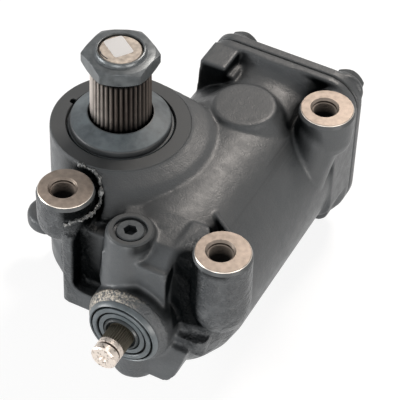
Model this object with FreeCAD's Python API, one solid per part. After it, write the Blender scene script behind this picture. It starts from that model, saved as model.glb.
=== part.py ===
import FreeCAD, Part
import math
import os
from FreeCAD import Vector, Rotation, Placement

# Hydraulic power steering gear of a heavy truck, recirculating ball type.
# Millimetres. +Z is the sector shaft axis, up. +Y runs from the input shaft to the end cover.
# The origin is the sector shaft axis where it crosses the plane of the three mounting faces.

os.makedirs("parts", exist_ok=True)

X_AXIS = Vector(1, 0, 0)
Y_AXIS = Vector(0, 1, 0)
Z_AXIS = Vector(0, 0, 1)
DOWN = Vector(0, 0, -1)

# Mounting pattern: three cast columns with machined faces at Z = 0, each with a tapped hole
MOUNT_SPAN_X = 139.3        # near left to near right column
MOUNT_NEAR_Y = -88.0        # the two columns beside the input shaft
MOUNT_FAR_Y = 97.9          # the column beside the end flange
MOUNT_FACE_R = 22.2
MOUNT_HOLE_R = 10.2         # core of an M22 x 1.5 thread
MOUNT_HOLE_DEPTH = 36.0
MOUNT_CHAMFER_R = 12.0
MOUNT_HOLE_SHIFT = Vector(-2.0, -0.5, 0)   # the drilled hole sits a little off its cast column
NEAR_LEFT_DEPTH = 30.0
NEAR_RIGHT_DEPTH = 52.0
FAR_RIGHT_DEPTH = 28.0
COLUMN_ROUND = 17.0         # height of a column's rounded foot
NEAR_RIGHT_ROUND = 30.0
COLUMN_CLEARING_R = 29.5    # lowered floor round the near left column
COLUMN_CLEARING_Z = -24.0

# Piston, worm and input shaft axis
AXIS_X = 76.0
AXIS_Z = -85.0
BORE_R = 57.5
BARREL_R = 74.0
FLANGE_Y = 137.0            # joint face of the end cover
CAVITY_FRONT_Y = -90.0      # inner front wall of the cylinder
WALL_Y = -112.0             # outer face of the front wall
WALL_BACK_Y = -68.0
WALL_LEFT_X = 8.0
WALL_LOW_Z = -103.0
WALL_TOP_Z = -26.0
LEDGE_Z = -88.0             # top of the low ledge on the right
BLOCK_RIGHT_X = 102.5       # right face of the valve block
SADDLE_TOP_Z = -12.5        # metal that joins the valve block to the near right column
SADDLE_REACH_X = 125.0
SLIDE_GAP = 0.07            # radial clearance of sliding and running fits
FREE_GAP = 0.3              # clearance of parts that pass without guiding each other
SEAT_GAP = 0.05             # clearance of parts that are fitted in a seat
CUT_PAST = 20.0             # a cutter reaches this far past the face it starts from

# Sector shaft and its seat in the housing
SECTOR_BOSS_R = 58.0
SECTOR_FOOT_R = SECTOR_BOSS_R + 2.0
JOINT_R = SECTOR_BOSS_R - 1.0
JOINT_Z = AXIS_Z - BARREL_R + 7.0    # joint face of the side cover
FOOT_Z = JOINT_Z + 8.0               # lower edge of the thick foot
FOOT_TOP_Z = FOOT_Z + 20.0
CAVITY_TOP_Z = -50.0
CAVITY_R = 43.5
JOURNAL_R = 27.5
BEARING_R = 33.0
BEARING_W = 24.0
OIL_SEAL_R = 36.0
OIL_SEAL_W = 10.0
DUST_RECESS_R = 44.85
DUST_RECESS_D = 6.0
RECESS_NOTCH_R = 3.0        # half-round notch in the edge of the recess
RECESS_NOTCH_ANGLE = math.radians(141.0)
DUST_SEAL_R = 41.4
DUST_SEAL_EDGE_Z = 5.0
DUST_SEAL_LIP_R = 26.4
DUST_SEAL_LIP_Z = 11.6
SNAP_RING_W = 2.0

# Output end of the sector shaft
SERRATION_TEETH = 36
SERRATION_R = 25.2
SERRATION_DEPTH = 1.9
SERRATION_TAPER = 0.6       # radius lost from the foot to the top of the serration
SERRATION_FOOT_Z = 6.0
SERRATION_TOP_Z = 59.0
THREAD_NECK_R = 16.6
OUTPUT_THREAD_R = 17.9
NECK_W = 3.5
SHAFT_TOP_Z = 76.7
NUT_AF = 55.0
NUT_BASE_Z = 61.5
NUT_BODY_H = 13.0
NUT_COLLAR_R = 20.25
NUT_COLLAR_H = 3.7
NUT_TURN = 28.0             # a corner of the hexagon points this way, degrees from +X

# Rack and sector teeth
MODULE = 6.0
GEAR_TEETH = 12             # teeth of the full gear that the sector is cut from
SECTOR_TEETH = 5
PRESSURE_ANGLE = math.radians(25.0)
PITCH_R = MODULE * GEAR_TEETH / 2
SECTOR_ADD = 5.4
RACK_ADD = 5.2
ROOT_GAP = 1.2
BACKLASH = 0.36
SECTOR_TOP_Z = -53.0
SECTOR_LOW_Z = -117.0

# Piston
PISTON_R = BORE_R - SLIDE_GAP
PISTON_FRONT_Y = -52.5
PISTON_REAR_Y = 98.0
RACK_END_Y = 58.0
RING_Y = 86.0
RING_W = 3.6
RING_DEPTH = 5.0
WORM_WELL_END_Y = 86.0

# Ball screw
BALL_R = 3.5
BALL_CIRCLE_R = 16.5
LEAD = 14.0
BALLS_PER_TURN = 12
BALL_COUNT = 12
BALL_GAP = 0.3              # ball to worm groove
TRACK_GAP = 0.1             # ball to piston groove
WORM_R = 15.4
NUT_BORE_R = 17.3
WORM_THREAD_START_Y = -82.0
WORM_THREAD_TURNS = 9
WORM_END_Y = 48.0
TRACK_START_Y = -22.0
TORSION_BAR_R = 4.6
TORSION_BAR_SHORT = 6.0     # the bar ends this far inside the worm
WORM_HOLE_R = 6.4

# Control valve in the nose
NOSE_Y = -134.0             # front face of the dust boot
RIM_Y = -130.0              # machined end of the nose casting, which the boot covers
NOSE_RIM_R = 31.5
NOSE_R = 36.0
NOSE_TAPER = 8.0
BOOT_R = 29.6
NOSE_BORE_R = 26.2
BOOT_PLUG_W = 3.0
INPUT_SEAL_W = 6.0
SLEEVE_R = 22.0
SLEEVE_BORE_R = 15.0
SLEEVE_W = 14.0
WORM_HEAD_R = 16.0
WORM_SHOULDER_W = 3.0
SLEEVE_GROOVES = 3
VALVE_CHAMBER_R = 23.0
WORM_BEARING_R = 28.0
WORM_BEARING_W = 10.0
INPUT_R = 11.1
INPUT_END_Y = -163.0
INPUT_TEETH = 36
INPUT_TOOTH_DEPTH = 0.8
CLAMP_GROOVE_R = 9.4
CLAMP_GROOVE_W = 2.5
INPUT_TIP_W = 6.5
INPUT_RING_W = 4.0

# End flange and end cover
FLANGE_LEFT_X = AXIS_X - BARREL_R + 13.0
FLANGE_RIGHT_X = AXIS_X + BARREL_R + 1.5
FLANGE_TOP_Z = AXIS_Z + BARREL_R + 10.0
FLANGE_LOW_Z = AXIS_Z - BARREL_R - 1.0
FLANGE_T = 8.0
CORNER_R = 28.0
LOW_CORNER_R = 43.0
SMALL_CORNER_R = 17.0
SIDE_BLOCK_Y = 95.0
SIDE_BLOCK_LOW_Z = -125.0
SIDE_BLOCK_TOP_Z = -30.0
COVER_T = 10.0
COVER_DISH_R = 46.0
COVER_DISH_H = 7.0
COVER_SPIGOT = 9.0
END_BOLTS = (
    (FLANGE_LEFT_X + 19.0, FLANGE_TOP_Z - 19.0),
    (FLANGE_RIGHT_X - 18.0, FLANGE_TOP_Z - 19.0),
    (FLANGE_RIGHT_X - 23.0, FLANGE_LOW_Z + 22.0),
    (FLANGE_LEFT_X + 19.0, FLANGE_LOW_Z + 20.0),
)
END_BOLT_R = 8.0            # M16
END_BOLT_AF = 24.0
END_BOLT_HEAD_H = 9.0
END_THREAD_DEPTH = 16.0
END_HOLE_SPARE = 2.0        # drilled depth past the end of the bolt
BOLT_BOSS_R = 16.0
BOLT_BOSS_H = 3.5
GASKET_T = 0.6

# Side cover under the sector shaft
SIDE_COVER_T = 9.0
SIDE_COVER_R = 54.0
SIDE_BOLT_PCD_R = 54.0
SIDE_BOLT_ANGLES = (24.0, 84.0, 135.0, 186.0, 264.0, 324.0)
SIDE_BOLT_R = 5.0
SIDE_BOLT_DEPTH = 12.0
SIDE_LUG_R = 10.5
SIDE_BOLT_AF = 16.0
SIDE_BOLT_HEAD_H = 6.4
SIDE_HUB_R = 36.0
SIDE_HUB_H = 3.0
ADJUSTER_R = 6.0
ADJUSTER_TIP = 9.0
ADJUSTER_HEAD_R = 12.0
ADJUSTER_HEAD_H = 5.0
LOCKNUT_AF = 24.0
LOCKNUT_H = 6.0

# Cast lug on the foot of the sector tower, with a tapped hole that faces down
LUG_X = -64.0
LUG_Y = -13.0
LUG_R = 19.0
LUG_TOP_Z = -122.0
LUG_LOW_Z = -135.5
LUG_HOLE_R = 5.1            # core of an M12 x 1.75 thread
LUG_HOLE_DEPTH = 10.0
LUG_HOLE_OUT = 7.5          # the hole sits outwards of the lug's middle, clear of the side cover

# Plug boss, cast block, pad, ports and corner block
PLUG_X = 62.3
PLUG_Y = -95.0
PLUG_TOP_Z = -8.0
PLUG_BOSS_R = 19.0
PLUG_BOSS_FOOT_R = 24.5
PLUG_RECESS_R = 12.7
PLUG_RECESS_D = 3.0
PLUG_R = 11.3
PLUG_THREAD_R = 8.2
PLUG_LENGTH = 16.0
PLUG_SOCKET_AF = 10.0
PAD_X = 74.5
PAD_Y = 76.0
PAD_R = 26.8
PAD_TOP_Z = AXIS_Z + BARREL_R + 3.4
PAD_SKIRT_R = 50.0          # the cast slope round the pad runs out into the barrel here
PORT_R = 8.2                # core of an M18 x 1.5 thread
PORT_DEPTH = 15.0
SPOT_FACE = 2.0             # radius that a spot face adds to its port
PORT_A = (74.0, -106.0)
PORT_A_LOW_Z = -147.0
PORT_A_BOSS_R = 20.0
PORT_B = (101.0, -101.0)
PORT_B_LOW_Z = -141.0
PORT_B_FRONT_Y = -119.0
PORT_B_BACK_Y = -74.0
PORT_B_LEFT_X = 78.0
PORT_B_RIGHT_X = 127.0
CORNER_BLOCK_X = 19.0
CORNER_BLOCK_W = 24.0
CORNER_BLOCK_Y = 101.0
CORNER_BLOCK_H = 52.0
CORNER_BLOCK_DRAFT = 4.0
WEB_START = Vector(-5.5, 22.5, 0)    # thin web, from the near right column's axis
WEB_ALONG = Vector(-0.733, 0.680, 0)
WEB_ACROSS = Vector(0.680, 0.733, 0)
WEB_LENGTH = 41.0
WEB_T = 4.0


def cylinder(radius, length, base, direction=Z_AXIS):
    return Part.makeCylinder(radius, length, base, direction)


def box(x0, x1, y0, y1, z0, z1):
    return Part.makeBox(x1 - x0, y1 - y0, z1 - z0, Vector(x0, y0, z0))


def fuse_all(shapes):
    return shapes[0].multiFuse(shapes[1:]).removeSplitter()


def cut_all(body, tools):
    return body.cut(tools)


def revolve_z(profile, x=0.0, y=0.0):
    """Solid of revolution about a vertical axis, from (radius, z) corners."""
    points = [Vector(x + r, y, z) for r, z in profile]
    face = Part.Face(Part.makePolygon(points + [points[0]]))
    return face.revolve(Vector(x, y, 0), Z_AXIS, 360)


def revolve_y(profile):
    """Solid of revolution about the piston axis, from (radius, y) corners."""
    points = [Vector(AXIS_X + r, y, AXIS_Z) for r, y in profile]
    face = Part.Face(Part.makePolygon(points + [points[0]]))
    return face.revolve(Vector(AXIS_X, 0, AXIS_Z), Y_AXIS, 360)


def ring_y(outer, inner, y0, y1):
    return revolve_y([(inner, y0), (outer, y0), (outer, y1), (inner, y1)])


def ring_z(outer, inner, z0, z1, x=0.0, y=0.0):
    return revolve_z([(inner, z0), (outer, z0), (outer, z1), (inner, z1)], x, y)


def prism(points, direction):
    """Prism from corner points, extruded by the direction vector."""
    return Part.Face(Part.makePolygon(points + [points[0]])).extrude(direction)


def hex_prism(across_flats, base, height, direction=Z_AXIS, turn=0.0):
    radius = across_flats / math.sqrt(3)
    corners = []
    for i in range(6):
        angle = math.radians(60 * i + turn)
        corners.append(Vector(radius * math.cos(angle), radius * math.sin(angle), 0))
    solid = prism(corners, Vector(0, 0, height))
    solid.Placement = Placement(base, Rotation(Z_AXIS, direction))
    return solid


def hex_bolt(across_flats, head_h, shank_r, length, base, direction):
    """Bolt whose head sits on base and whose shank goes the other way."""
    head = hex_prism(across_flats, Vector(0, 0, 0), head_h)
    shank = cylinder(shank_r, length, Vector(0, 0, -length))
    solid = fuse_all([head, shank])
    solid.Placement = Placement(base, Rotation(Z_AXIS, direction))
    return solid


def serration(teeth, radius_low, radius_high, depth, z0, z1):
    """Tapered serrated bar about the Z axis with triangular teeth."""
    wires = []
    for radius, z in ((radius_low, z0), (radius_high, z1)):
        corners = []
        for i in range(2 * teeth):
            angle = math.pi * i / teeth
            r = radius if i % 2 == 0 else radius - depth
            corners.append(Vector(r * math.cos(angle), r * math.sin(angle), z))
        wires.append(Part.makePolygon(corners + [corners[0]]))
    return Part.makeLoft(wires, True, True)


def onto_piston_axis(solid):
    """Move a solid built about +Z from the origin onto the piston axis, with +Z along +Y."""
    moved = solid.copy()
    moved.Placement = Placement(Vector(AXIS_X, 0, AXIS_Z), Rotation(X_AXIS, -90)).multiply(solid.Placement)
    return moved


def save(name, shape):
    shape.exportStep("parts/" + name + ".step")
    print(name, len(shape.Solids), shape.isValid(), round(shape.Volume / 1000, 1))


# Places worked out from the sizes above
MOUNTS = {
    "near_left": Vector(0, MOUNT_NEAR_Y, 0),
    "near_right": Vector(MOUNT_SPAN_X, MOUNT_NEAR_Y, 0),
    "far_right": Vector(MOUNT_SPAN_X, MOUNT_FAR_Y, 0),
}
COLUMN_DEPTH = {
    "near_left": (NEAR_LEFT_DEPTH, COLUMN_ROUND),
    "near_right": (NEAR_RIGHT_DEPTH, NEAR_RIGHT_ROUND),
    "far_right": (FAR_RIGHT_DEPTH, COLUMN_ROUND),
}
POCKET_FLOOR_Y = CAVITY_FRONT_Y - 8.0
UPPER_BEARING_TOP_Z = -DUST_RECESS_D - SNAP_RING_W - OIL_SEAL_W - 2.0
SIDE_COVER_LOW_Z = JOINT_Z - GASKET_T - SIDE_COVER_T
SIDE_HUB_LOW_Z = SIDE_COVER_LOW_Z - SIDE_HUB_H
LOWER_BEARING_LOW_Z = JOINT_Z + 1.0
SHAFT_LOW_Z = LOWER_BEARING_LOW_Z + 1.0
SPIGOT_TOP_Z = LOWER_BEARING_LOW_Z + BEARING_W
BOOT_BACK_Y = RIM_Y + BOOT_PLUG_W
SEAL_FRONT_Y = BOOT_BACK_Y + 0.5
SEAL_Y = SEAL_FRONT_Y + INPUT_SEAL_W
SLEEVE_FRONT_Y = SEAL_Y + 1.5
BEARING_FRONT_Y = CAVITY_FRONT_Y - WORM_BEARING_W
BAR_FRONT_Y = NOSE_Y + 4.0


def cast_column(place, depth, rounding):
    """Mounting column with a machined face, a little casting draft and a rounded foot."""
    draft = depth * math.tan(math.radians(2.0))
    foot_r = MOUNT_FACE_R + draft
    profile = [(0, 0), (MOUNT_FACE_R, 0), (MOUNT_FACE_R + 1.2, -3.0), (foot_r, -depth),
               (foot_r * 0.93, -depth - 0.4 * rounding), (foot_r * 0.72, -depth - 0.76 * rounding),
               (0, -depth - rounding)]
    return revolve_z(profile, place.x, place.y)


def flange_outline(y0, y1, edge=0.0):
    """Rounded square flange that bulges where it goes round the bore."""
    x0 = FLANGE_LEFT_X + edge
    x1 = FLANGE_RIGHT_X - edge
    z0 = FLANGE_LOW_Z + edge
    z1 = FLANGE_TOP_Z - edge
    plate = box(x0, x1, y0, y1, z0, z1)
    corners = ((x1, z1, CORNER_R), (x1, z0, LOW_CORNER_R), (x0, z1, SMALL_CORNER_R), (x0, z0, CORNER_R))
    for x, z, radius in corners:
        plate = plate.makeFillet(radius - edge, [e for e in plate.Edges if is_corner(e, x, z)])
    disc = cylinder(BARREL_R - edge, y1 - y0, Vector(AXIS_X, y0, AXIS_Z), Y_AXIS)
    return plate.fuse(disc).removeSplitter()


def is_corner(edge, x, z):
    """True for a straight edge along Y at the given X and Z."""
    return all(abs(v.X - x) < 0.01 and abs(v.Z - z) < 0.01 for v in edge.Vertexes)


def barrel():
    """Cylinder casting with a rounded front end."""
    profile = [(0, WALL_Y + 8.0), (BARREL_R - 30.0, WALL_Y + 8.0), (BARREL_R - 16.5, WALL_Y + 12.0),
               (BARREL_R - 8.0, WALL_Y + 21.0), (BARREL_R - 2.0, WALL_Y + 36.0), (BARREL_R, WALL_Y + 52.0),
               (BARREL_R, FLANGE_Y - 2.0), (0, FLANGE_Y - 2.0)]
    return revolve_y(profile)


def sector_boss():
    """Round tower of the sector shaft, with a thick foot, bolt lugs and a fairing to the barrel."""
    tower = revolve_z([(0, 0), (SECTOR_BOSS_R - 0.8, 0), (SECTOR_BOSS_R, -0.8),
                       (SECTOR_BOSS_R, FOOT_TOP_Z + 4.0), (SECTOR_FOOT_R, FOOT_TOP_Z),
                       (SECTOR_FOOT_R, FOOT_Z + 2.0), (JOINT_R, FOOT_Z - 4.0),
                       (JOINT_R, JOINT_Z), (0, JOINT_Z)])
    shoulder_r = SECTOR_BOSS_R + 14.0
    skirt_r = SECTOR_BOSS_R + 34.0
    cone = revolve_z([(0, -0.6), (SECTOR_BOSS_R - 1.0, -0.6), (shoulder_r, -6.5), (skirt_r, -20.0),
                      (skirt_r, AXIS_Z), (0, AXIS_Z)])
    bridge = box(0, AXIS_X + 24.0, WALL_Y + 6.0, SECTOR_BOSS_R, AXIS_Z, 0)
    skin = ring_y(BARREL_R + 5.0, BARREL_R - 6.0, -SECTOR_BOSS_R, SECTOR_BOSS_R + 12.0)
    lug = revolve_z([(0, LUG_TOP_Z), (LUG_R - 2.0, LUG_TOP_Z), (LUG_R, LUG_TOP_Z - 3.0),
                     (LUG_R, LUG_LOW_Z + 1.5), (LUG_R - 1.5, LUG_LOW_Z), (0, LUG_LOW_Z)], LUG_X, LUG_Y)
    clearing = cylinder(COLUMN_CLEARING_R, 40.0, MOUNTS["near_left"] + Vector(0, 0, COLUMN_CLEARING_Z))
    shapes = [tower, cone.common(bridge.fuse(skin)).cut(clearing.cut(tower)), lug]
    for angle in SIDE_BOLT_ANGLES:
        place = side_bolt_place(angle)
        shapes.append(cylinder(SIDE_LUG_R, SIDE_BOLT_DEPTH + 10.0, place))
    return fuse_all(shapes)


def lug_hole_place():
    """Mouth of the tapped hole in the cast lug."""
    middle = Vector(LUG_X, LUG_Y, 0)
    return middle + middle * (LUG_HOLE_OUT / middle.Length) + Vector(0, 0, LUG_LOW_Z)


def side_bolt_place(angle):
    a = math.radians(angle)
    return Vector(SIDE_BOLT_PCD_R * math.cos(a), SIDE_BOLT_PCD_R * math.sin(a), JOINT_Z)


def front_wall():
    """Front wall between the columns: high left of the valve block, a low ledge right of it."""
    parts = [box(WALL_LEFT_X, BLOCK_RIGHT_X, WALL_Y, WALL_BACK_Y, WALL_LOW_Z, WALL_TOP_Z),
             box(WALL_LEFT_X, MOUNT_SPAN_X - 2.0, WALL_Y, WALL_BACK_Y, WALL_LOW_Z, LEDGE_Z)]
    shapes = []
    for part in parts:
        upright = [e for e in part.Edges if abs(e.Vertexes[0].Z - e.Vertexes[-1].Z) > 1.0]
        shapes.append(part.makeFillet(5.0, upright))
    right_x = MOUNT_SPAN_X - 2.0
    shapes.append(box(BLOCK_RIGHT_X - 10.0, right_x, POCKET_FLOOR_Y, WALL_BACK_Y, WALL_LOW_Z, -45.0))
    return fuse_all(shapes + [saddle()])


def saddle():
    """Sloping web from the valve block to the near right column, over the right pocket."""
    x0 = BLOCK_RIGHT_X - 4.0
    back_y = POCKET_FLOOR_Y + 48.0
    plan = [Vector(x0, POCKET_FLOOR_Y, WALL_LOW_Z), Vector(SADDLE_REACH_X, POCKET_FLOOR_Y, WALL_LOW_Z),
            Vector(SADDLE_REACH_X, back_y - 28.0, WALL_LOW_Z), Vector(x0 + 9.0, back_y, WALL_LOW_Z),
            Vector(x0, back_y, WALL_LOW_Z)]
    slope = [Vector(x0, POCKET_FLOOR_Y, WALL_LOW_Z), Vector(x0, POCKET_FLOOR_Y, SADDLE_TOP_Z - 8.0),
             Vector(x0, POCKET_FLOOR_Y + 2.5, SADDLE_TOP_Z - 3.5),
             Vector(x0, POCKET_FLOOR_Y + 8.0, SADDLE_TOP_Z - 1.0),
             Vector(x0, back_y - 26.0, SADDLE_TOP_Z), Vector(x0, back_y - 10.0, SADDLE_TOP_Z),
             Vector(x0, back_y, SADDLE_TOP_Z - 10.0), Vector(x0, back_y, WALL_LOW_Z)]
    height = Vector(0, 0, SADDLE_TOP_Z - WALL_LOW_Z)
    return prism(plan, height).common(prism(slope, Vector(SADDLE_REACH_X - x0, 0, 0)))


def front_pockets():
    """Deep cast pocket of the front wall, left of the valve block."""
    pocket = box(WALL_LEFT_X + 11.5, AXIS_X - 30.0, WALL_Y - 30.0, POCKET_FLOOR_Y, LEDGE_Z + 4.0, 10.0)
    corners = [e for e in pocket.Edges if abs(e.Vertexes[0].Y - e.Vertexes[-1].Y) > 1.0]
    return [pocket.makeFillet(8.0, corners)]


def valve_nose():
    """Casting round the control valve: round nose, faired block and plug column."""
    nose = revolve_y([(0, RIM_Y), (NOSE_RIM_R, RIM_Y), (NOSE_R, RIM_Y + NOSE_TAPER),
                      (NOSE_R + 1.5, CAVITY_FRONT_Y + 4.0), (0, CAVITY_FRONT_Y + 4.0)])
    block_low = AXIS_Z - 10.0
    block = prism([Vector(AXIS_X - 30.0, -60.0, block_low), Vector(AXIS_X - 30.0, WALL_Y, block_low),
                   Vector(AXIS_X - 30.0, WALL_Y, -32.0), Vector(AXIS_X - 30.0, -93.0, -14.0),
                   Vector(AXIS_X - 30.0, -60.0, -14.0)], Vector(BLOCK_RIGHT_X - AXIS_X + 30.0, 0, 0))
    boss_h = 9.0
    column = Part.makeCone(PLUG_BOSS_FOOT_R, PLUG_BOSS_R + 1.0, 54.0 - boss_h,
                           Vector(PLUG_X, PLUG_Y, PLUG_TOP_Z - 54.0))
    boss = revolve_z([(0, PLUG_TOP_Z), (PLUG_BOSS_R - 1.0, PLUG_TOP_Z),
                      (PLUG_BOSS_R + 0.6, PLUG_TOP_Z - 2.4), (PLUG_BOSS_R + 1.2, PLUG_TOP_Z - boss_h),
                      (0, PLUG_TOP_Z - boss_h)], PLUG_X, PLUG_Y)
    return fuse_all([nose, block, column, boss])


def port_bosses():
    """Two bosses under the nose whose tapped ports face down."""
    ax, ay = PORT_A
    lip = 3.0
    root_z = AXIS_Z - 16.0
    round_boss = revolve_z([(0, PORT_A_LOW_Z), (PORT_A_BOSS_R - 1.2, PORT_A_LOW_Z),
                            (PORT_A_BOSS_R, PORT_A_LOW_Z + lip), (PORT_A_BOSS_R + 2.0, root_z),
                            (0, root_z)], ax, ay)
    low = PORT_B_LOW_Z
    top = AXIS_Z - 11.0
    right = PORT_B_RIGHT_X
    corners = ((PORT_B_LEFT_X, top), (right, top), (right - 10.5, low + 12.0), (right - 17.0, low + 2.0),
               (right - 22.0, low), (PORT_B_LEFT_X, low))
    block = prism([Vector(x, PORT_B_FRONT_Y, z) for x, z in corners],
                  Vector(0, PORT_B_BACK_Y - PORT_B_FRONT_Y, 0))
    return fuse_all([round_boss, block])


def flange_casting():
    """End flange of the housing with its fillet, its corner block and the thick right side."""
    inner_y = FLANGE_Y - FLANGE_T
    plate = flange_outline(inner_y, FLANGE_Y)
    fillet = revolve_y([(BARREL_R - 4.0, inner_y - 17.0), (BARREL_R, inner_y - 17.0),
                        (BARREL_R + 1.2, inner_y - 11.0), (BARREL_R + 4.0, inner_y - 5.5),
                        (BARREL_R + 9.0, inner_y - 1.5), (BARREL_R + 14.0, inner_y + 1.0),
                        (BARREL_R - 4.0, inner_y + 1.0)])
    fillet = fillet.common(flange_outline(inner_y - 18.0, FLANGE_Y, 1.0))
    side = box(AXIS_X + 34.0, FLANGE_RIGHT_X, SIDE_BLOCK_Y, FLANGE_Y - 1.0,
               SIDE_BLOCK_LOW_Z, SIDE_BLOCK_TOP_Z)
    low_edge = [e for e in side.Edges if is_corner(e, FLANGE_RIGHT_X, SIDE_BLOCK_LOW_Z)]
    side = side.makeFillet(18.0, low_edge)
    rib_x = CORNER_BLOCK_X + CORNER_BLOCK_W + 4.0
    rib = cylinder(2.6, 27.0, Vector(rib_x, inner_y - 25.0, FLANGE_TOP_Z - 13.0), Y_AXIS)
    boss_y = FLANGE_Y - END_THREAD_DEPTH - END_HOLE_SPARE - 3.0
    boss_length = inner_y - boss_y + 1.0
    bosses = [cylinder(END_BOLT_R + 5.5, boss_length, Vector(x, boss_y, z), Y_AXIS) for x, z in END_BOLTS]
    return fuse_all([plate, fillet, side, corner_block(inner_y + 1.0), rib] + bosses)


def corner_block(end_y):
    """Cast block on the left corner of the flange, wider at its foot."""
    x0 = CORNER_BLOCK_X
    x1 = x0 + CORNER_BLOCK_W
    top = FLANGE_TOP_Z - 1.0
    low = top - CORNER_BLOCK_H
    outline = [Vector(x0, CORNER_BLOCK_Y, top), Vector(x1, CORNER_BLOCK_Y, top),
               Vector(x1, CORNER_BLOCK_Y, low), Vector(x0 - CORNER_BLOCK_DRAFT, CORNER_BLOCK_Y, low)]
    return prism(outline, Vector(0, end_y - CORNER_BLOCK_Y, 0))


def webs():
    """Ribs that tie the mounting columns to the barrel and the sector tower."""
    near = box(-11.0, 13.0, MOUNT_NEAR_Y + 6.0, -SECTOR_BOSS_R + 18.0, WALL_LOW_Z, -12.0)
    right = box(AXIS_X + 30.0, MOUNT_SPAN_X, MOUNT_NEAR_Y + 2.0, -52.0, WALL_LOW_Z + 20.0, -45.0)
    return fuse_all([near, right, thin_web(), fairing()])


def thin_web():
    """Thin web from the back of the near right column up to the barrel."""
    start = MOUNTS["near_right"] + WEB_START
    end = start + WEB_ALONG * WEB_LENGTH
    root = Vector(0, 0, -60.0)
    outline = [start + Vector(0, 0, -7.0), end + Vector(0, 0, -18.0), end + root, start + root]
    return prism(outline, WEB_ACROSS * WEB_T)


def fairing():
    """Slanting swell that carries the far right column down to the side of the barrel."""
    radius = MOUNT_FACE_R - 2.0
    top = MOUNTS["far_right"] + Vector(-2.5, -4.0, -22.0)
    foot = Vector(AXIS_X + BARREL_R - radius - 4.0, 70.0, AXIS_Z - 5.0)
    return cylinder(radius, (foot - top).Length, top, foot - top)


def housing_casting():
    columns = [cast_column(MOUNTS[name], *COLUMN_DEPTH[name]) for name in MOUNTS]
    pad_root = PAD_TOP_Z - PAD_SKIRT_R
    pad = revolve_z([(0, pad_root), (PAD_SKIRT_R, pad_root), (PAD_SKIRT_R, PAD_TOP_Z - 23.5),
                     (PAD_R + 1.0, PAD_TOP_Z - 3.0), (PAD_R, PAD_TOP_Z - 1.0),
                     (PAD_R - 0.8, PAD_TOP_Z), (0, PAD_TOP_Z)], PAD_X, PAD_Y)
    body = fuse_all([barrel(), sector_boss(), front_wall(), webs()])
    body = cut_all(body, front_pockets())
    return fuse_all([body, valve_nose(), port_bosses(), flange_casting(), pad] + columns)


def mount_hole_place(name):
    return MOUNTS[name] + MOUNT_HOLE_SHIFT


def housing_bores():
    """Everything that is machined out of the casting."""
    start = Vector(AXIS_X, CAVITY_FRONT_Y, AXIS_Z)
    tools = [cylinder(BORE_R, FLANGE_Y - CAVITY_FRONT_Y + 1.0, start, Y_AXIS)]
    tools.append(cylinder(CAVITY_R, CAVITY_TOP_Z - JOINT_Z + 1.0, Vector(0, 0, JOINT_Z - 1.0)))
    tools.append(cylinder(SECTOR_BOSS_R, CUT_PAST, Vector(0, 0, JOINT_Z - CUT_PAST)))
    tools.append(cylinder(LUG_HOLE_R, LUG_HOLE_DEPTH, lug_hole_place()))
    tools.append(revolve_z([(0, CAVITY_TOP_Z - 1.0), (BEARING_R, CAVITY_TOP_Z - 1.0),
                            (BEARING_R, UPPER_BEARING_TOP_Z), (OIL_SEAL_R, UPPER_BEARING_TOP_Z),
                            (OIL_SEAL_R, -DUST_RECESS_D), (DUST_RECESS_R, -DUST_RECESS_D),
                            (DUST_RECESS_R, 1.0), (0, 1.0)]))
    notch = Vector(math.cos(RECESS_NOTCH_ANGLE), math.sin(RECESS_NOTCH_ANGLE), 0) * DUST_RECESS_R
    tools.append(cylinder(RECESS_NOTCH_R, DUST_RECESS_D + 1.0, notch + Vector(0, 0, -DUST_RECESS_D)))
    tools.append(revolve_y([(0, NOSE_Y - 1.0), (NOSE_BORE_R, NOSE_Y - 1.0),
                            (NOSE_BORE_R, SLEEVE_FRONT_Y - 1.0), (VALVE_CHAMBER_R, SLEEVE_FRONT_Y - 1.0),
                            (VALVE_CHAMBER_R, BEARING_FRONT_Y), (WORM_BEARING_R, BEARING_FRONT_Y),
                            (WORM_BEARING_R, CAVITY_FRONT_Y + 1.0), (0, CAVITY_FRONT_Y + 1.0)]))
    for name in MOUNTS:
        place = mount_hole_place(name)
        tools.append(revolve_z([(0, -MOUNT_HOLE_DEPTH - 4.0), (MOUNT_HOLE_R, -MOUNT_HOLE_DEPTH),
                                (MOUNT_HOLE_R, MOUNT_HOLE_R - MOUNT_CHAMFER_R), (MOUNT_CHAMFER_R, 0),
                                (MOUNT_CHAMFER_R, 1.0), (0, 1.0)], place.x, place.y))
    plug_low = PLUG_TOP_Z - PLUG_LENGTH - 3.0
    plug_seat = PLUG_TOP_Z - PLUG_RECESS_D
    tools.append(revolve_z([(0, plug_low), (PLUG_THREAD_R, plug_low), (PLUG_THREAD_R, plug_seat),
                            (PLUG_RECESS_R, plug_seat), (PLUG_RECESS_R, PLUG_TOP_Z + 1.0),
                            (0, PLUG_TOP_Z + 1.0)], PLUG_X, PLUG_Y))
    for (x, y), low in ((PORT_A, PORT_A_LOW_Z), (PORT_B, PORT_B_LOW_Z)):
        tools.append(cylinder(PORT_R, PORT_DEPTH, Vector(x, y, low)))
        tools.append(cylinder(PORT_R + SPOT_FACE, 2 * CUT_PAST + 1.0, Vector(x, y, low - 2 * CUT_PAST)))
    for x, z in END_BOLTS:
        depth = END_THREAD_DEPTH + END_HOLE_SPARE
        tools.append(cylinder(END_BOLT_R + SEAT_GAP, depth + 1.0, Vector(x, FLANGE_Y - depth, z), Y_AXIS))
    for angle in SIDE_BOLT_ANGLES:
        place = side_bolt_place(angle)
        tools.append(cylinder(SIDE_BOLT_R + SEAT_GAP, SIDE_BOLT_DEPTH, place))
        tools.append(cylinder(SIDE_LUG_R + 2.0, CUT_PAST, place + Vector(0, 0, -CUT_PAST)))
    return tools


def gear_housing():
    return cut_all(housing_casting(), housing_bores())


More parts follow.
